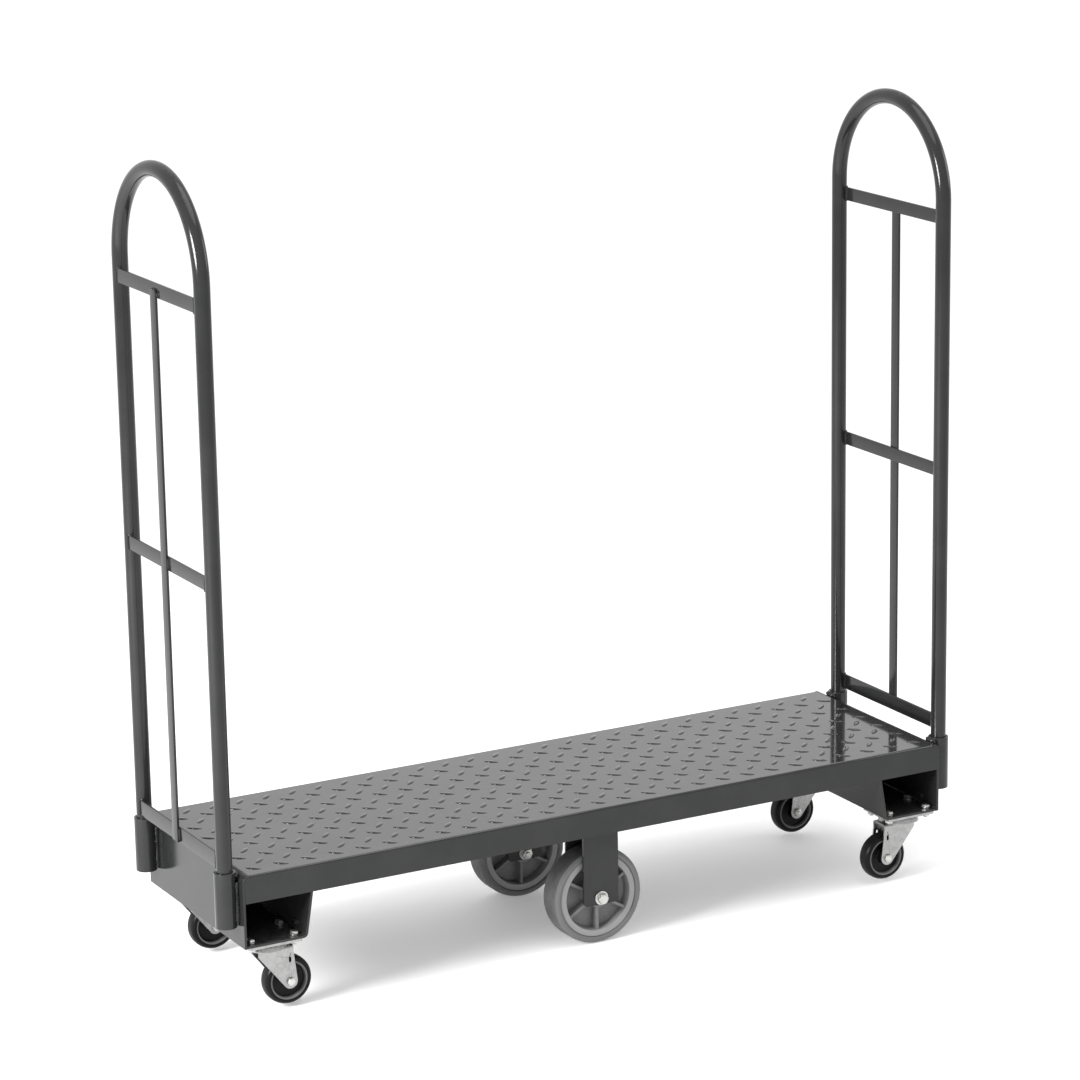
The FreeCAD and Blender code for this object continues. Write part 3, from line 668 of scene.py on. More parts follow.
# ------------------------------------------------------------------ sub-assemblies
@dataclass
class TreadDeck:
    """The deck sheet with its raised tread, its stiffeners below and the seams at its ends."""

    finishes: Finishes
    pitch_x: float = 0.0585
    pitch_y: float = 0.0695
    shift_y: float = 0.017
    lug_length: float = 0.034
    lug_width: float = 0.0112
    lug_height: float = 0.0019
    sunk: float = 0.0004
    margin: float = 0.003
    slant: float = 43.0
    grid_count: int = 20
    pan_setback: float = 0.016
    plate_sheet: float = 0.005
    bead: WeldBead = WeldBead(0.0024, 0.0024)
    bead_sunk: float = 0.0005
    skirt_corner: float = 0.0042

    def lug(self, slant: float) -> Array:
        """One raised lug.

        Its half width is w/2 (1 - a^2)^0.8 for a from -1 to 1 along it, and its height over that
        width follows (1 - a^2)^0.6 times a flattened arch of sin.

        Args:
            slant: Angle of its long direction from X, in degrees.

        Returns:
            Points of a closed tube, shape (n, m, 3).
        """
        along = np.linspace(-1.0, 1.0, 9)[:, None]
        turn = np.linspace(0.0, np.pi, 6)[None]
        width = self.lug_width / 2 * np.clip(1 - along**2, 0, 1) ** 0.8
        height = self.lug_height * np.clip(1 - along**2, 0, 1) ** 0.6
        x = along * self.lug_length / 2 + 0 * turn
        y = width * np.cos(turn)
        z = height * np.sin(turn) ** 0.7
        floor_row = np.full_like(x[:, :1], -self.sunk)
        x = np.concatenate([x, x[:, -1:], x[:, :1]], axis=1)
        y = np.concatenate([y, y[:, -1:], y[:, :1]], axis=1)
        z = np.concatenate([z, floor_row, floor_row], axis=1)
        cos, sin = math.cos(math.radians(slant)), math.sin(math.radians(slant))
        return np.stack([x * cos - y * sin, x * sin + y * cos, z], axis=-1)

    def places(self, low: Vector, high: Vector, offset: float) -> Array:
        """Middles of one set of lugs on a grid that is shifted by a share of its pitch."""
        reach_x = self.lug_length / 2 * math.cos(math.radians(self.slant)) + self.margin
        reach_y = self.lug_length / 2 * math.sin(math.radians(self.slant)) + self.margin
        x = (np.arange(-self.grid_count, self.grid_count + 1) + offset) * self.pitch_x
        y = (np.arange(-self.grid_count, self.grid_count + 1) + offset) * self.pitch_y + self.shift_y
        x = x[(x > low.x + reach_x) & (x < high.x - reach_x)]
        y = y[(y > low.y + reach_y) & (y < high.y - reach_y)]
        x, y = np.meshgrid(x, y)
        return np.stack([x.ravel(), y.ravel(), np.full(x.size, high.z)], axis=1)

    def build(self) -> None:
        """Makes the tread and dresses the deck's own nodes."""
        low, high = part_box("deck_sheet")
        plate_low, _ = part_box("end_plate_left")
        low = Vector((plate_low.x + self.pan_setback, low.y, low.z))
        high = Vector((-low.x, high.y, high.z))
        tread = Surface()
        tread.copies(self.lug(-self.slant), self.places(low, high, 0.0))
        tread.copies(self.lug(self.slant), self.places(low, high, 0.5))
        tread.piece("tread_lugs", FRAME_BODY, Slot.DECK, self.finishes, crease=math.radians(60.0))
        self.finishes.dress("deck_sheet", Slot.DECK, edge=0.0006)
        for end in ENDS:
            self.finishes.dress(f"end_plate_{end}", Slot.FRAME, edge=0.0006)
            self.finishes.dress(f"caster_pan_{end}", Slot.FRAME, edge=0.0006)
        for node in ("cross_angles", "deck_ribs"):
            self.finishes.dress(node, Slot.FRAME, edge=0.0005)
        self.weld_seams()

    def weld_seams(self) -> None:
        """Runs the beads that join the skirts, end plates and pans."""
        seams = Surface()
        plate_low, plate_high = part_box("end_plate_right")
        deck_low, deck_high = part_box("deck_sheet")
        inner_x = plate_high.x - self.plate_sheet
        skirt_y, short = deck_high.y - self.skirt_corner, 0.012
        roof_z, web_z = deck_high.z - 0.0045, plate_low.z + self.plate_sheet + 0.0008

        def run(start: Triple, stop: Triple, side: Triple, phase: float) -> None:
            """One straight bead."""
            self.bead.run(seams, np.array([start, stop]), side, phase=phase)

        for k, (end, way) in enumerate(ENDS.items()):
            pan_low, pan_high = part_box(f"caster_pan_{end}")
            wall = (pan_high.x if way < 0 else pan_low.x) - way * self.bead_sunk
            for j, side in enumerate(SIDES.values()):
                run((way * inner_x, side * skirt_y, deck_low.z + 0.002),
                    (way * inner_x, side * skirt_y, deck_high.z - 0.008), ALONG_X, k + 2.0 * j)
            run((wall, deck_low.y + short, roof_z), (wall, deck_high.y - short, roof_z), ALONG_Z, 0.7 * k)
            web_x = way * (inner_x - self.bead_sunk)
            run((web_x, plate_low.y + short / 2, web_z), (web_x, plate_high.y - short / 2, web_z),
                ALONG_Z, 1.3 * k)
        for j, side in enumerate(SIDES):
            low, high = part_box(f"wheel_bracket_{side}")
            for k, y in enumerate((low.y, high.y)):
                run((low.x + 0.004, y, high.z - 0.001), (high.x - 0.004, y, high.z - 0.001),
                    ALONG_Z, k + 3.1 * j)
        seams.piece("frame_seam_welds", FRAME_BODY, Slot.FRAME, self.finishes)


@dataclass
class HandleSockets:
    """Socket pipes with turned lips and the lumpy beads that hold them on the end plates."""

    finishes: Finishes
    bore: float = 0.0163
    seat: float = 0.0048
    drain: float = 0.005
    lip: float = 0.0012
    foot_corner: float = 0.0015
    inner_corner: float = 0.0006
    side_bead: WeldBead = WeldBead(0.0050, 0.0034, 0.24)
    side_reach: float = 0.0135
    side_out: float = 0.0028
    cover_bead: WeldBead = WeldBead(0.0042, 0.0038, 0.30)
    cover_turn: float = 0.75
    cover_out: float = 0.0006
    cover_drop: float = 0.0065

    def build(self) -> None:
        """Makes the four pipes and their welds."""
        for end, way in ENDS.items():
            welds = Surface()
            for k, side in enumerate(SIDES):
                node = f"socket_{end}_{side}"
                low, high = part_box(node)
                centre = ((low.x + high.x) / 2, (low.y + high.y) / 2, low.z)
                self.pipe(node, centre, (high.x - low.x) / 2, high.z - low.z)
                self.welds(welds, centre, (high.x - low.x) / 2, high.z - low.z, way, 1.7 * k + way)
            welds.piece(f"socket_beads_{end}", FRAME_BODY, Slot.FRAME, self.finishes,
                        replaces=f"socket_welds_{end}")

    def pipe(self, node: str, centre: Triple, radius: float, length: float) -> None:
        """One pipe: its section, rounded at every corner, turned about the pipe's own line."""
        corners = np.array([(self.drain, 0.0), (radius, 0.0), (radius, length), (self.bore, length),
                            (self.bore, self.seat), (self.drain, self.seat)])
        soft = np.array([self.inner_corner, self.foot_corner, self.lip, self.lip,
                         self.inner_corner, self.inner_corner])
        shape = Surface().grid(turned(rounded(corners, soft), centre, Axis.Z, steps=72), along=True)
        shape.piece(f"{node}_pipe", FRAME_BODY, Slot.FRAME, self.finishes, replaces=node)

    def welds(self, surface: Surface, centre: Triple, radius: float, length: float,
              way: float, phase: float) -> None:
        """Two upright beads and a lumpy one across the top of the joint."""
        x, y, z = centre
        side_x = x - way * radius + way * self.side_out
        bottom, top = z + 0.004, z + length - 0.020
        for k, hand in enumerate((-1.0, 1.0)):
            side_y = y + hand * self.side_reach
            self.side_bead.run(surface, np.array([(side_x, side_y, bottom), (side_x, side_y, top)]),
                               ALONG_X, phase + k)
        turn = np.linspace(-self.cover_turn, self.cover_turn, 9)
        out = radius + self.cover_out
        arc = np.stack([x - way * out * np.cos(turn), y + out * np.sin(turn),
                        np.full(turn.size, z + length - self.cover_drop)], axis=1)
        self.cover_bead.run(surface, arc, ALONG_Z, phase)


@dataclass
class Handle:
    """One arched tube handle with three crossbars and a central upright."""

    finishes: Finishes
    end: str
    tube_wall: float = 0.002
    bar_corner: float = 0.0009
    arch_steps: int = 72
    tube_steps: int = 40
    bar_bead: WeldBead = WeldBead(0.0021, 0.0022, 0.22, 8)
    bar_bead_out: float = 0.0004
    bar_bead_corner: float = 0.0016
    bar_bite: float = 0.0005
    upright_bead: WeldBead = WeldBead(0.0024, 0.0028, 0.26, 8)
    upright_bead_short: float = 0.003
    tip_bead: WeldBead = WeldBead(0.0034, 0.0040, 0.32, 10)

    def build(self) -> None:
        """Makes the tube, the flat bars and their welds."""
        body = f"handle_{self.end}"
        low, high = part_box(f"handle_tube_{self.end}")
        radius = (high.x - low.x) / 2
        x = (low.x + high.x) / 2
        bars_low, bars_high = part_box(f"handle_crossbars_{self.end}")
        arch = high.y - radius
        spring = high.z - radius - arch
        self.tube(body, x, low.z, spring, arch, radius)
        bars, welds = Surface(), Surface()
        bar_x, thick = (bars_low.x + bars_high.x) / 2, bars_high.x - bars_low.x
        tall = self.crossbar_levels()
        inset = math.sqrt(radius**2 - (bar_x - x) ** 2)
        for k, (bottom, top) in enumerate(tall):
            level, reach = (bottom + top) / 2, arch - inset + self.bar_bite
            path = np.array([(bar_x, -reach, level), (bar_x, reach, level)])
            section = oblong(thick, top - bottom, self.bar_corner)
            bars.grid(capped(swept(path, section, ALONG_X, ALONG_Z)))
            self.bar_welds(welds, (x, arch, radius), bar_x, bottom, top, thick, float(k))
        bars.piece(f"crossbars_{self.end}", body, Slot.HANDLE, self.finishes,
                   replaces=f"handle_crossbars_{self.end}")
        self.upright(body, welds, tall)
        welds.piece(f"handle_beads_{self.end}", body, Slot.HANDLE, self.finishes)

    def crossbar_levels(self) -> list[tuple[float, float]]:
        """Lower and upper edge of each crossbar, read from the CAD node's own points."""
        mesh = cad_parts[f"handle_crossbars_{self.end}"].data
        points = np.empty(len(mesh.vertices) * 3)
        mesh.vertices.foreach_get("co", points)
        levels = np.unique(np.round(points[2::3], 4))
        return [(float(a), float(b)) for a, b in zip(levels[0::2], levels[1::2])]

    def tube(self, body: str, x: float, foot: float, spring: float, arch: float, radius: float) -> None:
        """The bent tube with its inner wall.

        The middle line goes up one post, over the half circle (y, z) = arch (cos u, sin u) and down
        the other; the wall is a ring about it, outside first and then back along the inside.
        """
        turn = np.linspace(0.0, np.pi, self.arch_steps)
        level = np.linspace(foot, spring, 12)[:-1]
        y = np.concatenate([np.full(level.size, arch), arch * np.cos(turn), np.full(level.size, -arch)])
        z = np.concatenate([level, spring + arch * np.sin(turn), level[::-1]])
        lean = np.concatenate([np.zeros(level.size), turn, np.full(level.size, np.pi)])
        path = np.stack([np.full(y.size, x), y, z], axis=1)
        out = np.stack([np.zeros(y.size), np.cos(lean), np.sin(lean)], axis=1)
        outer = swept(path, circle(radius, self.tube_steps), ALONG_X, out)
        inner = swept(path, circle(radius - self.tube_wall, self.tube_steps), ALONG_X, out)[::-1]
        Surface().grid(np.concatenate([outer, inner]), along=True).piece(
            f"bent_tube_{self.end}", body, Slot.HANDLE, self.finishes,
            replaces=f"handle_tube_{self.end}")

    def bar_welds(self, surface: Surface, post: Triple, bar_x: float, bottom: float,
                  top: float, thick: float, phase: float) -> None:
        """A closed bead round each end of a crossbar, lying on the round post.

        Args:
            surface: Surface that takes the beads.
            post: The post's x, its distance from the middle, and its radius.
            bar_x: The crossbar's x.
            bottom: The crossbar's lower edge.
            top: The crossbar's upper edge.
            thick: The crossbar's thickness.
            phase: Shifts the beads' slow waves.
        """
        x, arch, radius = post
        ring = rounded(np.array([(-1.0, -1.0), (1.0, -1.0), (1.0, 1.0), (-1.0, 1.0)])
                       * (thick / 2 + self.bar_bead_out, (top - bottom) / 2 + self.bar_bead_out),
                       self.bar_bead_corner, 3)
        off = bar_x - x + ring[:, 0]
        inset = np.sqrt(np.maximum(radius**2 - off**2, 0.0)) + 0.0002
        for k, side in enumerate(SIDES.values()):
            loop = np.stack([x + off, side * (arch - inset), (bottom + top) / 2 + ring[:, 1]], axis=1)
            self.bar_bead.run(surface, loop, ALONG_Y, phase + 2.1 * k, closed=True)

    def upright(self, body: str, welds: Surface, levels: list[tuple[float, float]]) -> None:
        """The central flat bar, and the beads where it crosses each crossbar."""
        low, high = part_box(f"handle_upright_{self.end}")
        middle = (low + high) / 2
        path = np.array([(middle.x, middle.y, low.z), (middle.x, middle.y, high.z)])
        section = oblong(high.x - low.x, high.y - low.y, self.bar_corner)
        Surface().grid(capped(swept(path, section, ALONG_X, ALONG_Y))).piece(
            f"upright_{self.end}", body, Slot.HANDLE, self.finishes,
            replaces=f"handle_upright_{self.end}")
        way = ENDS[self.end]
        face = low.x if way > 0 else high.x
        short, seam_x, tip_x = self.upright_bead_short, face + way * 0.0006, face + way * 0.001
        for k, (bottom, top) in enumerate(levels):
            start, stop = max(bottom, low.z) + short, min(top, high.z) - short
            for hand in (-1.0, 1.0):
                y = middle.y + hand * (high.y - low.y) / 2
                seam = np.array([(seam_x, y, start), (seam_x, y, stop)])
                self.upright_bead.run(welds, seam, ALONG_X, k + hand)
        tip = np.array([(tip_x, low.y + short, high.z), (tip_x, high.y - short, high.z)])
        self.tip_bead.run(welds, tip, ALONG_Z, 0.4)


@dataclass(frozen=True)
class Bolt:
    """A zinc bolt with a washer, a chamfered hexagon head and the end of its thread."""

    across: float
    head: float
    shank: float
    washer: float
    washer_sheet: float
    pitch: float
    overlap: float = 0.0005
    face_share: float = 0.40
    face_sunk: float = 0.0004
    face_height: float = 0.0005

    def add(self, surface: Surface, seat: Triple, axis: Axis, way: float) -> None:
        """Adds the washer and head on a seat, away from it along the axis."""
        self.add_washer(surface, seat, axis, way)
        lifted = np.array(seat) + way * self.washer_sheet * np.array(axis.value[2])
        surface.grid(placed(bolt_head(self.across, self.head), tuple(lifted), axis, way))
        face = self.across * self.face_share
        corners = np.array([(0.0, -self.face_sunk), (face, -self.face_sunk), (face, self.face_height),
                            (0.0, self.face_height)])
        disc = rounded(corners, np.array([1e-6, 0.0002, 0.0004, 1e-6]), 3)
        top = lifted + way * self.head * np.array(axis.value[2])
        surface.grid(turned(disc, tuple(top), axis, way, 36))

    def add_washer(self, surface: Surface, seat: Triple, axis: Axis, way: float) -> None:
        """Adds a flat washer with soft edges."""
        if self.washer_sheet <= 0.0:
            return
        corners = np.array([(self.shank, 0.0), (self.washer, 0.0), (self.washer, self.washer_sheet),
                            (self.shank, self.washer_sheet)])
        surface.grid(turned(rounded(corners, self.washer_sheet * 0.3, 3), seat, axis, way, 40), along=True)

    def add_nut(self, surface: Surface, seat: Triple, axis: Axis, way: float,
                height: float, end: float) -> None:
        """Adds a nut on a seat with the threaded end standing out of it."""
        surface.grid(placed(bolt_head(self.across, height), seat, axis, way))
        top = np.array(seat) + way * (height - self.overlap) * np.array(axis.value[2])
        surface.grid(placed(threaded(self.shank, end + self.overlap, self.pitch), tuple(top), axis, way))

    def add_shank(self, surface: Surface, seat: Triple, axis: Axis, way: float, length: float) -> None:
        """Adds the plain shank, from a seat backwards."""
        corners = np.array([(0.0, 0.0), (self.shank, 0.0), (self.shank, length), (0.0, length)])
        surface.grid(turned(corners, seat, axis, -way, 32))


@dataclass
class CentreWheel:
    """A large grey wheel: stepped tyre, ribbed core, bush, axle bolt and its bracket."""

    finishes: Finishes
    side: str
    tyre_depth: float = 0.014
    ring: float = 0.013
    hub: float = 0.024
    web: float = 0.008
    rib: float = 0.006
    rib_setback: float = 0.007
    rib_count: int = 6
    bolt: Bolt = Bolt(across=0.020, head=0.009, shank=0.00635, washer=0.0145, washer_sheet=0.0025,
                      pitch=0.00195)
    nut_height: float = 0.0105
    spacer: float = 0.013
    spacer_play: float = 0.00025
    bracket_sheet: float = 0.005
    thread_end: float = 0.003

    def build(self) -> None:
        """Makes every piece of the wheel and its axle."""
        low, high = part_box(f"centre_tyre_{self.side}")
        centre = tuple((low + high) / 2)
        radius, half = (high.x - low.x) / 2, (high.y - low.y) / 2
        body = f"centre_wheel_{self.side}"
        self.tyre(body, centre, radius, half)
        self.core(body, centre, radius - self.tyre_depth, half)
        self.axle(centre)
        self.finishes.dress(f"centre_bush_{self.side}", Slot.BUSH)
        self.finishes.dress(f"wheel_bracket_{self.side}", Slot.FRAME, edge=0.0007)

    def tyre(self, body: str, centre: Triple, radius: float, half: float) -> None:
        """The tyre's section: flat tread, rounded shoulders, a step and a moulded bead on each wall."""
        bed = radius - self.tyre_depth
        wall = [(bed, half - 0.0022, 0.0006), (bed + 0.0022, half - 0.0006, 0.0009),
                (bed + 0.0040, half, 0.0007), (radius - 0.0062, half, 0.0006),
                (radius - 0.0056, half - 0.0013, 0.0006),
                (radius - 0.0018, half - 0.0036, 0.0016), (radius, half - 0.0085, 0.0030)]
        section = mirrored(wall, 3, foot=[(bed, 0.0, 0.0003)])
        points = turned(section, centre, Axis.Y, steps=128)
        # The mark picks out the tread, which the grey tyre's material paints darker than the walls as painted
        # shade.
        shape = Surface().grid(points, along=True, mark=section[:, 0] > radius - 0.0012)
        shape.piece(f"tyre_{self.side}", body, Slot.CENTRE_RUBBER, self.finishes,
                    replaces=f"centre_tyre_{self.side}")

    def core(self, body: str, centre: Triple, bed: float, half: float) -> None:
        """The core: hub, web and rim as one turned section, with tapered ribs between hub and rim."""
        low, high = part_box(f"centre_core_{self.side}")
        hub_half = (high.y - low.y) / 2
        bore = self.bolt.shank + 0.0036
        inner = bed - self.ring
        rim = half - 0.003
        web = self.web / 2
        upper = [(bore, hub_half, 0.0012), (self.hub - 0.001, hub_half, 0.0022),
                 (self.hub + 0.0015, web, 0.004), (inner - 0.003, web, 0.004),
                 (inner, rim, 0.0012), (bed - 0.0012, rim, 0.0006),
                 (bed - 0.0004, rim - 0.0012, 0.0004)]
        section = mirrored(upper, 4)
        pale = (section[:, 0] > inner - 0.0005) & (np.abs(section[:, 1]) > web)
        shape = Surface().grid(turned(section, centre, Axis.Y, steps=96), along=True, mark=pale)
        self.ribs(shape, np.array(centre), inner, half - self.rib_setback)
        shape.piece(f"wheel_core_{self.side}", body, Slot.CENTRE_CORE, self.finishes,
                    replaces=f"centre_core_{self.side}")

    def ribs(self, shape: Surface, centre: Array, inner: float, face: float) -> None:
        """Ribs as oblong sections that grow a little from hub to rim."""
        reach = np.linspace(self.hub - 0.004, inner + 0.001, 7)
        swell = 1.0 + 0.14 * ((reach - reach.mean()) / (reach[-1] - reach[0])) ** 2 * 4
        for k in range(self.rib_count):
            turn = math.radians(-90.0 + 360.0 * k / self.rib_count)
            out = np.array([math.cos(turn), 0.0, math.sin(turn)])
            across = np.array([-math.sin(turn), 0.0, math.cos(turn)])
            path = centre + reach[:, None] * out
            section = oblong(self.rib, 2 * face, 0.0014)
            rings = path[:, None] + (section[None, :, 0, None] * swell[:, None, None] * across
                                     + section[None, :, 1, None] * np.array([0.0, 1.0, 0.0]))
            shape.grid(capped(rings))

    def axle(self, centre: Triple) -> None:
        """The bolt through the bracket, its nut and the spacers beside the hub."""
        way = SIDES[self.side]
        low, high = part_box(f"wheel_bracket_{self.side}")
        outer, inner = (high.y, low.y) if way > 0 else (low.y, high.y)
        x, y, z = centre
        head, nut = Surface(), Surface()
        self.bolt.add(head, (x, outer, z), Axis.Y, way)
        self.bolt.add_shank(head, (x, outer, z), Axis.Y, way, abs(outer - inner))
        head.piece(f"centre_bolt_{self.side}", FRAME_BODY, Slot.FASTENER, self.finishes,
                   replaces=f"centre_axle_bolt_{self.side}")
        self.bolt.add_washer(nut, (x, inner, z), Axis.Y, -way)
        seat = (x, inner - way * self.bolt.washer_sheet, z)
        self.bolt.add_nut(nut, seat, Axis.Y, -way, self.nut_height, self.thread_end)
        _, core_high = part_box(f"centre_core_{self.side}")
        hub_half = core_high.y - y
        gap, play = abs(outer - y) - self.bracket_sheet - hub_half, self.spacer_play
        for hand in (-1.0, 1.0):
            corners = np.array([(self.bolt.shank, play), (self.spacer, play), (self.spacer, gap),
                                (self.bolt.shank, gap)])
            foot = (x, y + hand * hub_half, z)
            nut.grid(turned(rounded(corners, 0.0004, 2), foot, Axis.Y, hand, 40), along=True)
        nut.piece(f"centre_nut_{self.side}", FRAME_BODY, Slot.FASTENER, self.finishes,
                  replaces=f"centre_axle_nut_{self.side}")


@dataclass
class Caster:
    """A zinc swivel caster: plate, races, fork, black wheel and bolts."""

    finishes: Finishes
    end: str
    side: str
    tyre_depth: float = 0.0105
    hub: float = 0.013
    web: float = 0.009
    axle_bolt: Bolt = Bolt(across=0.015, head=0.005, shank=0.005, washer=0.009, washer_sheet=0.0,
                           pitch=0.00125)
    axle_nut: float = 0.0065
    plate_bolt: Bolt = Bolt(across=0.015, head=0.006, shank=0.0045, washer=0.0085, washer_sheet=0.0015,
                            pitch=0.00125)
    plate_nut: float = 0.007
    bolt_long: float = 0.092
    bolt_wide: float = 0.067
    thread_end: float = 0.003
    plate_sheet: float = 0.005

    @property
    def corner(self) -> str:
        """The corner's name."""
        return f"{self.end}_{self.side}"

    def build(self) -> None:
        """Makes every piece of the caster."""
        low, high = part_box(f"caster_tyre_{self.corner}")
        centre = tuple((low + high) / 2)
        body = f"caster_wheel_{self.corner}"
        self.tyre(body, centre, (high.x - low.x) / 2, (high.y - low.y) / 2)
        self.core(body, centre, (high.x - low.x) / 2 - self.tyre_depth, (high.y - low.y) / 2)
        self.axle(centre)
        self.fasteners()
        self.finishes.dress(f"caster_fork_{self.corner}", Slot.ZINC, edge=0.0006)
        self.finishes.dress(f"caster_plate_{self.corner}", Slot.ZINC, edge=0.0008)
        self.finishes.dress(f"caster_kingpin_{self.corner}", Slot.ZINC, edge=0.0006)

    def tyre(self, body: str, centre: Triple, radius: float, half: float) -> None:
        """The tyre's section: a slightly crowned tread with round shoulders and flat walls."""
        bed = radius - self.tyre_depth
        wall = [(bed, half - 0.0012, 0.0004), (bed + 0.0010, half, 0.0006), (radius - 0.0052, half, 0.0028),
                (radius - 0.0005, half - 0.0058, 0.0044)]
        section = mirrored(wall, 4, foot=[(bed, 0.0, 0.0003)], crown=[(radius, 0.0, 0.004)])
        points = turned(section, centre, Axis.Y, steps=112)
        shape = Surface().grid(points, along=True, mark=section[:, 0] > radius - 0.0012)
        shape.piece(f"caster_tread_{self.corner}", body, Slot.CASTER_RUBBER, self.finishes,
                    replaces=f"caster_tyre_{self.corner}")

    def core(self, body: str, centre: Triple, bed: float, half: float) -> None:
        """The core: hub, dished web and a thin raised ring beside the tyre."""
        low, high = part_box(f"caster_core_{self.corner}")
        hub_half = (high.y - low.y) / 2
        bore, web, rim = self.axle_bolt.shank + 0.0001, self.web / 2, half - 0.001
        upper = [(bore, hub_half, 0.0006), (self.hub - 0.0005, hub_half, 0.0010),
                 (self.hub + 0.002, web, 0.0030), (bed - 0.006, web, 0.0022),
                 (bed - 0.0032, rim, 0.0008), (bed - 0.0002, rim, 0.0004)]
        section = mirrored(upper, 3)
        pale = section[:, 0] > bed - 0.0036
        shape = Surface().grid(turned(section, centre, Axis.Y, steps=80), along=True, mark=pale)
        shape.piece(f"caster_hub_{self.corner}", body, Slot.CASTER_CORE, self.finishes,
                    replaces=f"caster_core_{self.corner}")

    def axle(self, centre: Triple) -> None:
        """The bolt through the fork's legs and its nut."""
        way = SIDES[self.side]
        low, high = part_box(f"caster_axle_{self.corner}")
        x, _, z = centre
        head_height, nut_height = self.axle_bolt.head, self.axle_nut
        outer = (high.y if way > 0 else low.y) - way * head_height
        inner = (low.y if way > 0 else high.y) + way * (nut_height + self.thread_end)
        shape = Surface()
        self.axle_bolt.add(shape, (x, outer, z), Axis.Y, way)
        self.axle_bolt.add_shank(shape, (x, outer, z), Axis.Y, way, abs(outer - inner))
        self.axle_bolt.add_nut(shape, (x, inner, z), Axis.Y, -way, nut_height, self.thread_end)
        shape.piece(f"caster_axle_bolt_{self.corner}", f"swivel_{self.corner}", Slot.FASTENER,
                    self.finishes, replaces=f"caster_axle_{self.corner}")

    def fasteners(self) -> None:
        """Four bolts through the pan and the top plate, heads up."""
        low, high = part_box(f"caster_plate_{self.corner}")
        pan_low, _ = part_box(f"caster_pan_{self.end}")
        middle = (low + high) / 2
        web_top, plate_low = pan_low.z + self.plate_sheet, pan_low.z - self.plate_sheet
        shape = Surface()
        for i in (-0.5, 0.5):
            for j in (-0.5, 0.5):
                x, y = middle.x + i * self.bolt_long, middle.y + j * self.bolt_wide
                self.plate_bolt.add(shape, (x, y, web_top), Axis.Z, 1.0)
                self.plate_bolt.add_nut(shape, (x, y, plate_low), Axis.Z, -1.0, self.plate_nut,
                                        self.thread_end)
        shape.piece(f"caster_bolts_{self.corner}", FRAME_BODY, Slot.FASTENER, self.finishes,
                    replaces=f"caster_fasteners_{self.corner}")


# ------------------------------------------------------------------ stage
@dataclass(frozen=True)
class SoftLight:
    """A round area light that faces the cart."""

    name: str
    place: Triple
    size: float
    power: float
    target: Triple = (0.0, 0.0, 0.5)

    def add(self) -> None:
        """Puts the light in the scene."""
        data = bpy.data.lights.new(self.name, "AREA")
        data.shape, data.size, data.energy = "DISK", self.size, self.power
        obj = bpy.data.objects.new(self.name, data)
        heading = Vector(self.target) - Vector(self.place)
        obj.rotation_euler = heading.to_track_quat("-Z", "Y").to_euler()
        obj.location = self.place
        bpy.context.scene.collection.objects.link(obj)


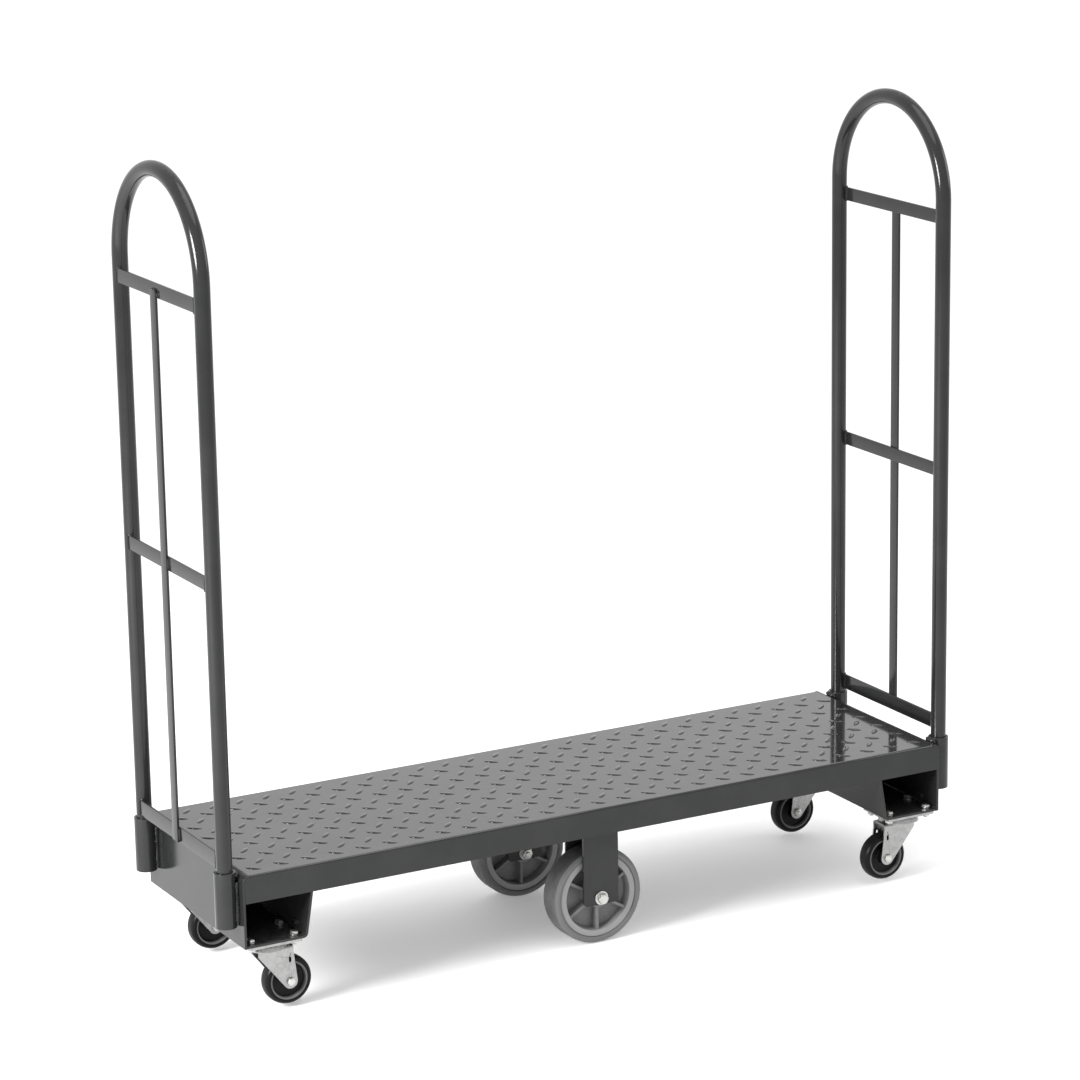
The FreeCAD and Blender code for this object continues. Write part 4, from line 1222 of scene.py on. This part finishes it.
@dataclass
class Studio:
    """Pale floor, soft lights and the camera."""

    aim: Triple = (0.0198, 0.0711, 0.7837)
    azimuth: float = -28.48
    elevation: float = 14.62
    roll: float = -0.96
    distance: float = 7.934
    lens: float = 129.9
    floor_tone: float = 0.80
    floor_glow: float = 0.24
    floor_half: float = 45.0
    sky: float = 0.98
    lights: tuple[SoftLight, ...] = (SoftLight("top_light", (0.3, -0.6, 4.6), size=3.2, power=60.0),
                                     SoftLight("left_light", (-4.6, -1.0, 2.4), size=1.7, power=330.0),
                                     SoftLight("right_light", (4.6, -1.2, 2.4), size=2.0, power=30.0))

    def build(self) -> None:
        """Makes the whole stage."""
        self.floor()
        self.world()
        for light in self.lights:
            light.add()
        self.camera()

    def floor(self) -> None:
        """A large pale floor with a barely visible mottle."""
        mesh = bpy.data.meshes.new("studio_floor")
        half = self.floor_half
        mesh.from_pydata([(-half, -half, 0.0), (half, -half, 0.0), (half, half, 0.0), (-half, half, 0.0)],
                         [], [(0, 1, 2, 3)])
        obj = bpy.data.objects.new("studio_floor", mesh)
        bpy.context.scene.collection.objects.link(obj)
        tree = Shader("pale_floor")
        mottle = tree.noise(0.4, detail=3.0, rough=0.5)
        tone = self.floor_tone
        colour = tree.blend(mottle, (tone, tone, tone), (tone * 1.03, tone * 1.03, tone * 1.03))
        glow = {"Emission_Color": (1.0, 1.0, 1.0, 1.0), "Emission_Strength": self.floor_glow}
        bump = tree.bump(mottle, 0.0005, 0.1)
        obj.data.materials.append(tree.finish(colour, 0.7 + 0.05 * mottle, bump, **glow))

    def world(self) -> None:
        """Even, pale surroundings."""
        world = bpy.data.worlds.new("studio_world")
        world.use_nodes = True
        back = world.node_tree.nodes["Background"]
        back.inputs["Color"].default_value = (1.0, 1.0, 1.0, 1.0)
        back.inputs["Strength"].default_value = self.sky
        bpy.context.scene.world = world
        bpy.context.scene.view_settings.view_transform = "Standard"

    def camera(self) -> None:
        """The camera, turned about the aim point by azimuth and elevation, then rolled."""
        azimuth, elevation = math.radians(self.azimuth), math.radians(self.elevation)
        back = Vector((math.sin(azimuth) * math.cos(elevation), -math.cos(azimuth) * math.cos(elevation),
                       math.sin(elevation)))
        right = Vector((math.cos(azimuth), math.sin(azimuth), 0.0))
        up = back.cross(right)
        turn = Matrix((right, up, back)).transposed() @ Matrix.Rotation(math.radians(self.roll), 3, "Z")
        data = bpy.data.cameras.new("camera")
        data.lens, data.sensor_width = self.lens, 36.0
        data.clip_end = 100.0
        obj = bpy.data.objects.new("camera", data)
        obj.matrix_world = Matrix.Translation(Vector(self.aim) + back * self.distance) @ turn.to_4x4()
        bpy.context.scene.collection.objects.link(obj)
        bpy.context.scene.camera = obj


def main() -> None:
    """Builds the cart, then the stage."""
    logging.basicConfig(level=logging.INFO, format="%(name)s: %(message)s")
    finishes = Finishes()
    TreadDeck(finishes).build()
    HandleSockets(finishes).build()
    for end in ENDS:
        Handle(finishes, end).build()
        for side in SIDES:
            Caster(finishes, end, side).build()
    for side in SIDES:
        CentreWheel(finishes, side).build()
    finishes.dress("caster_balls", Slot.BALLS)
    Studio().build()


if __name__ == "__main__":
    main()
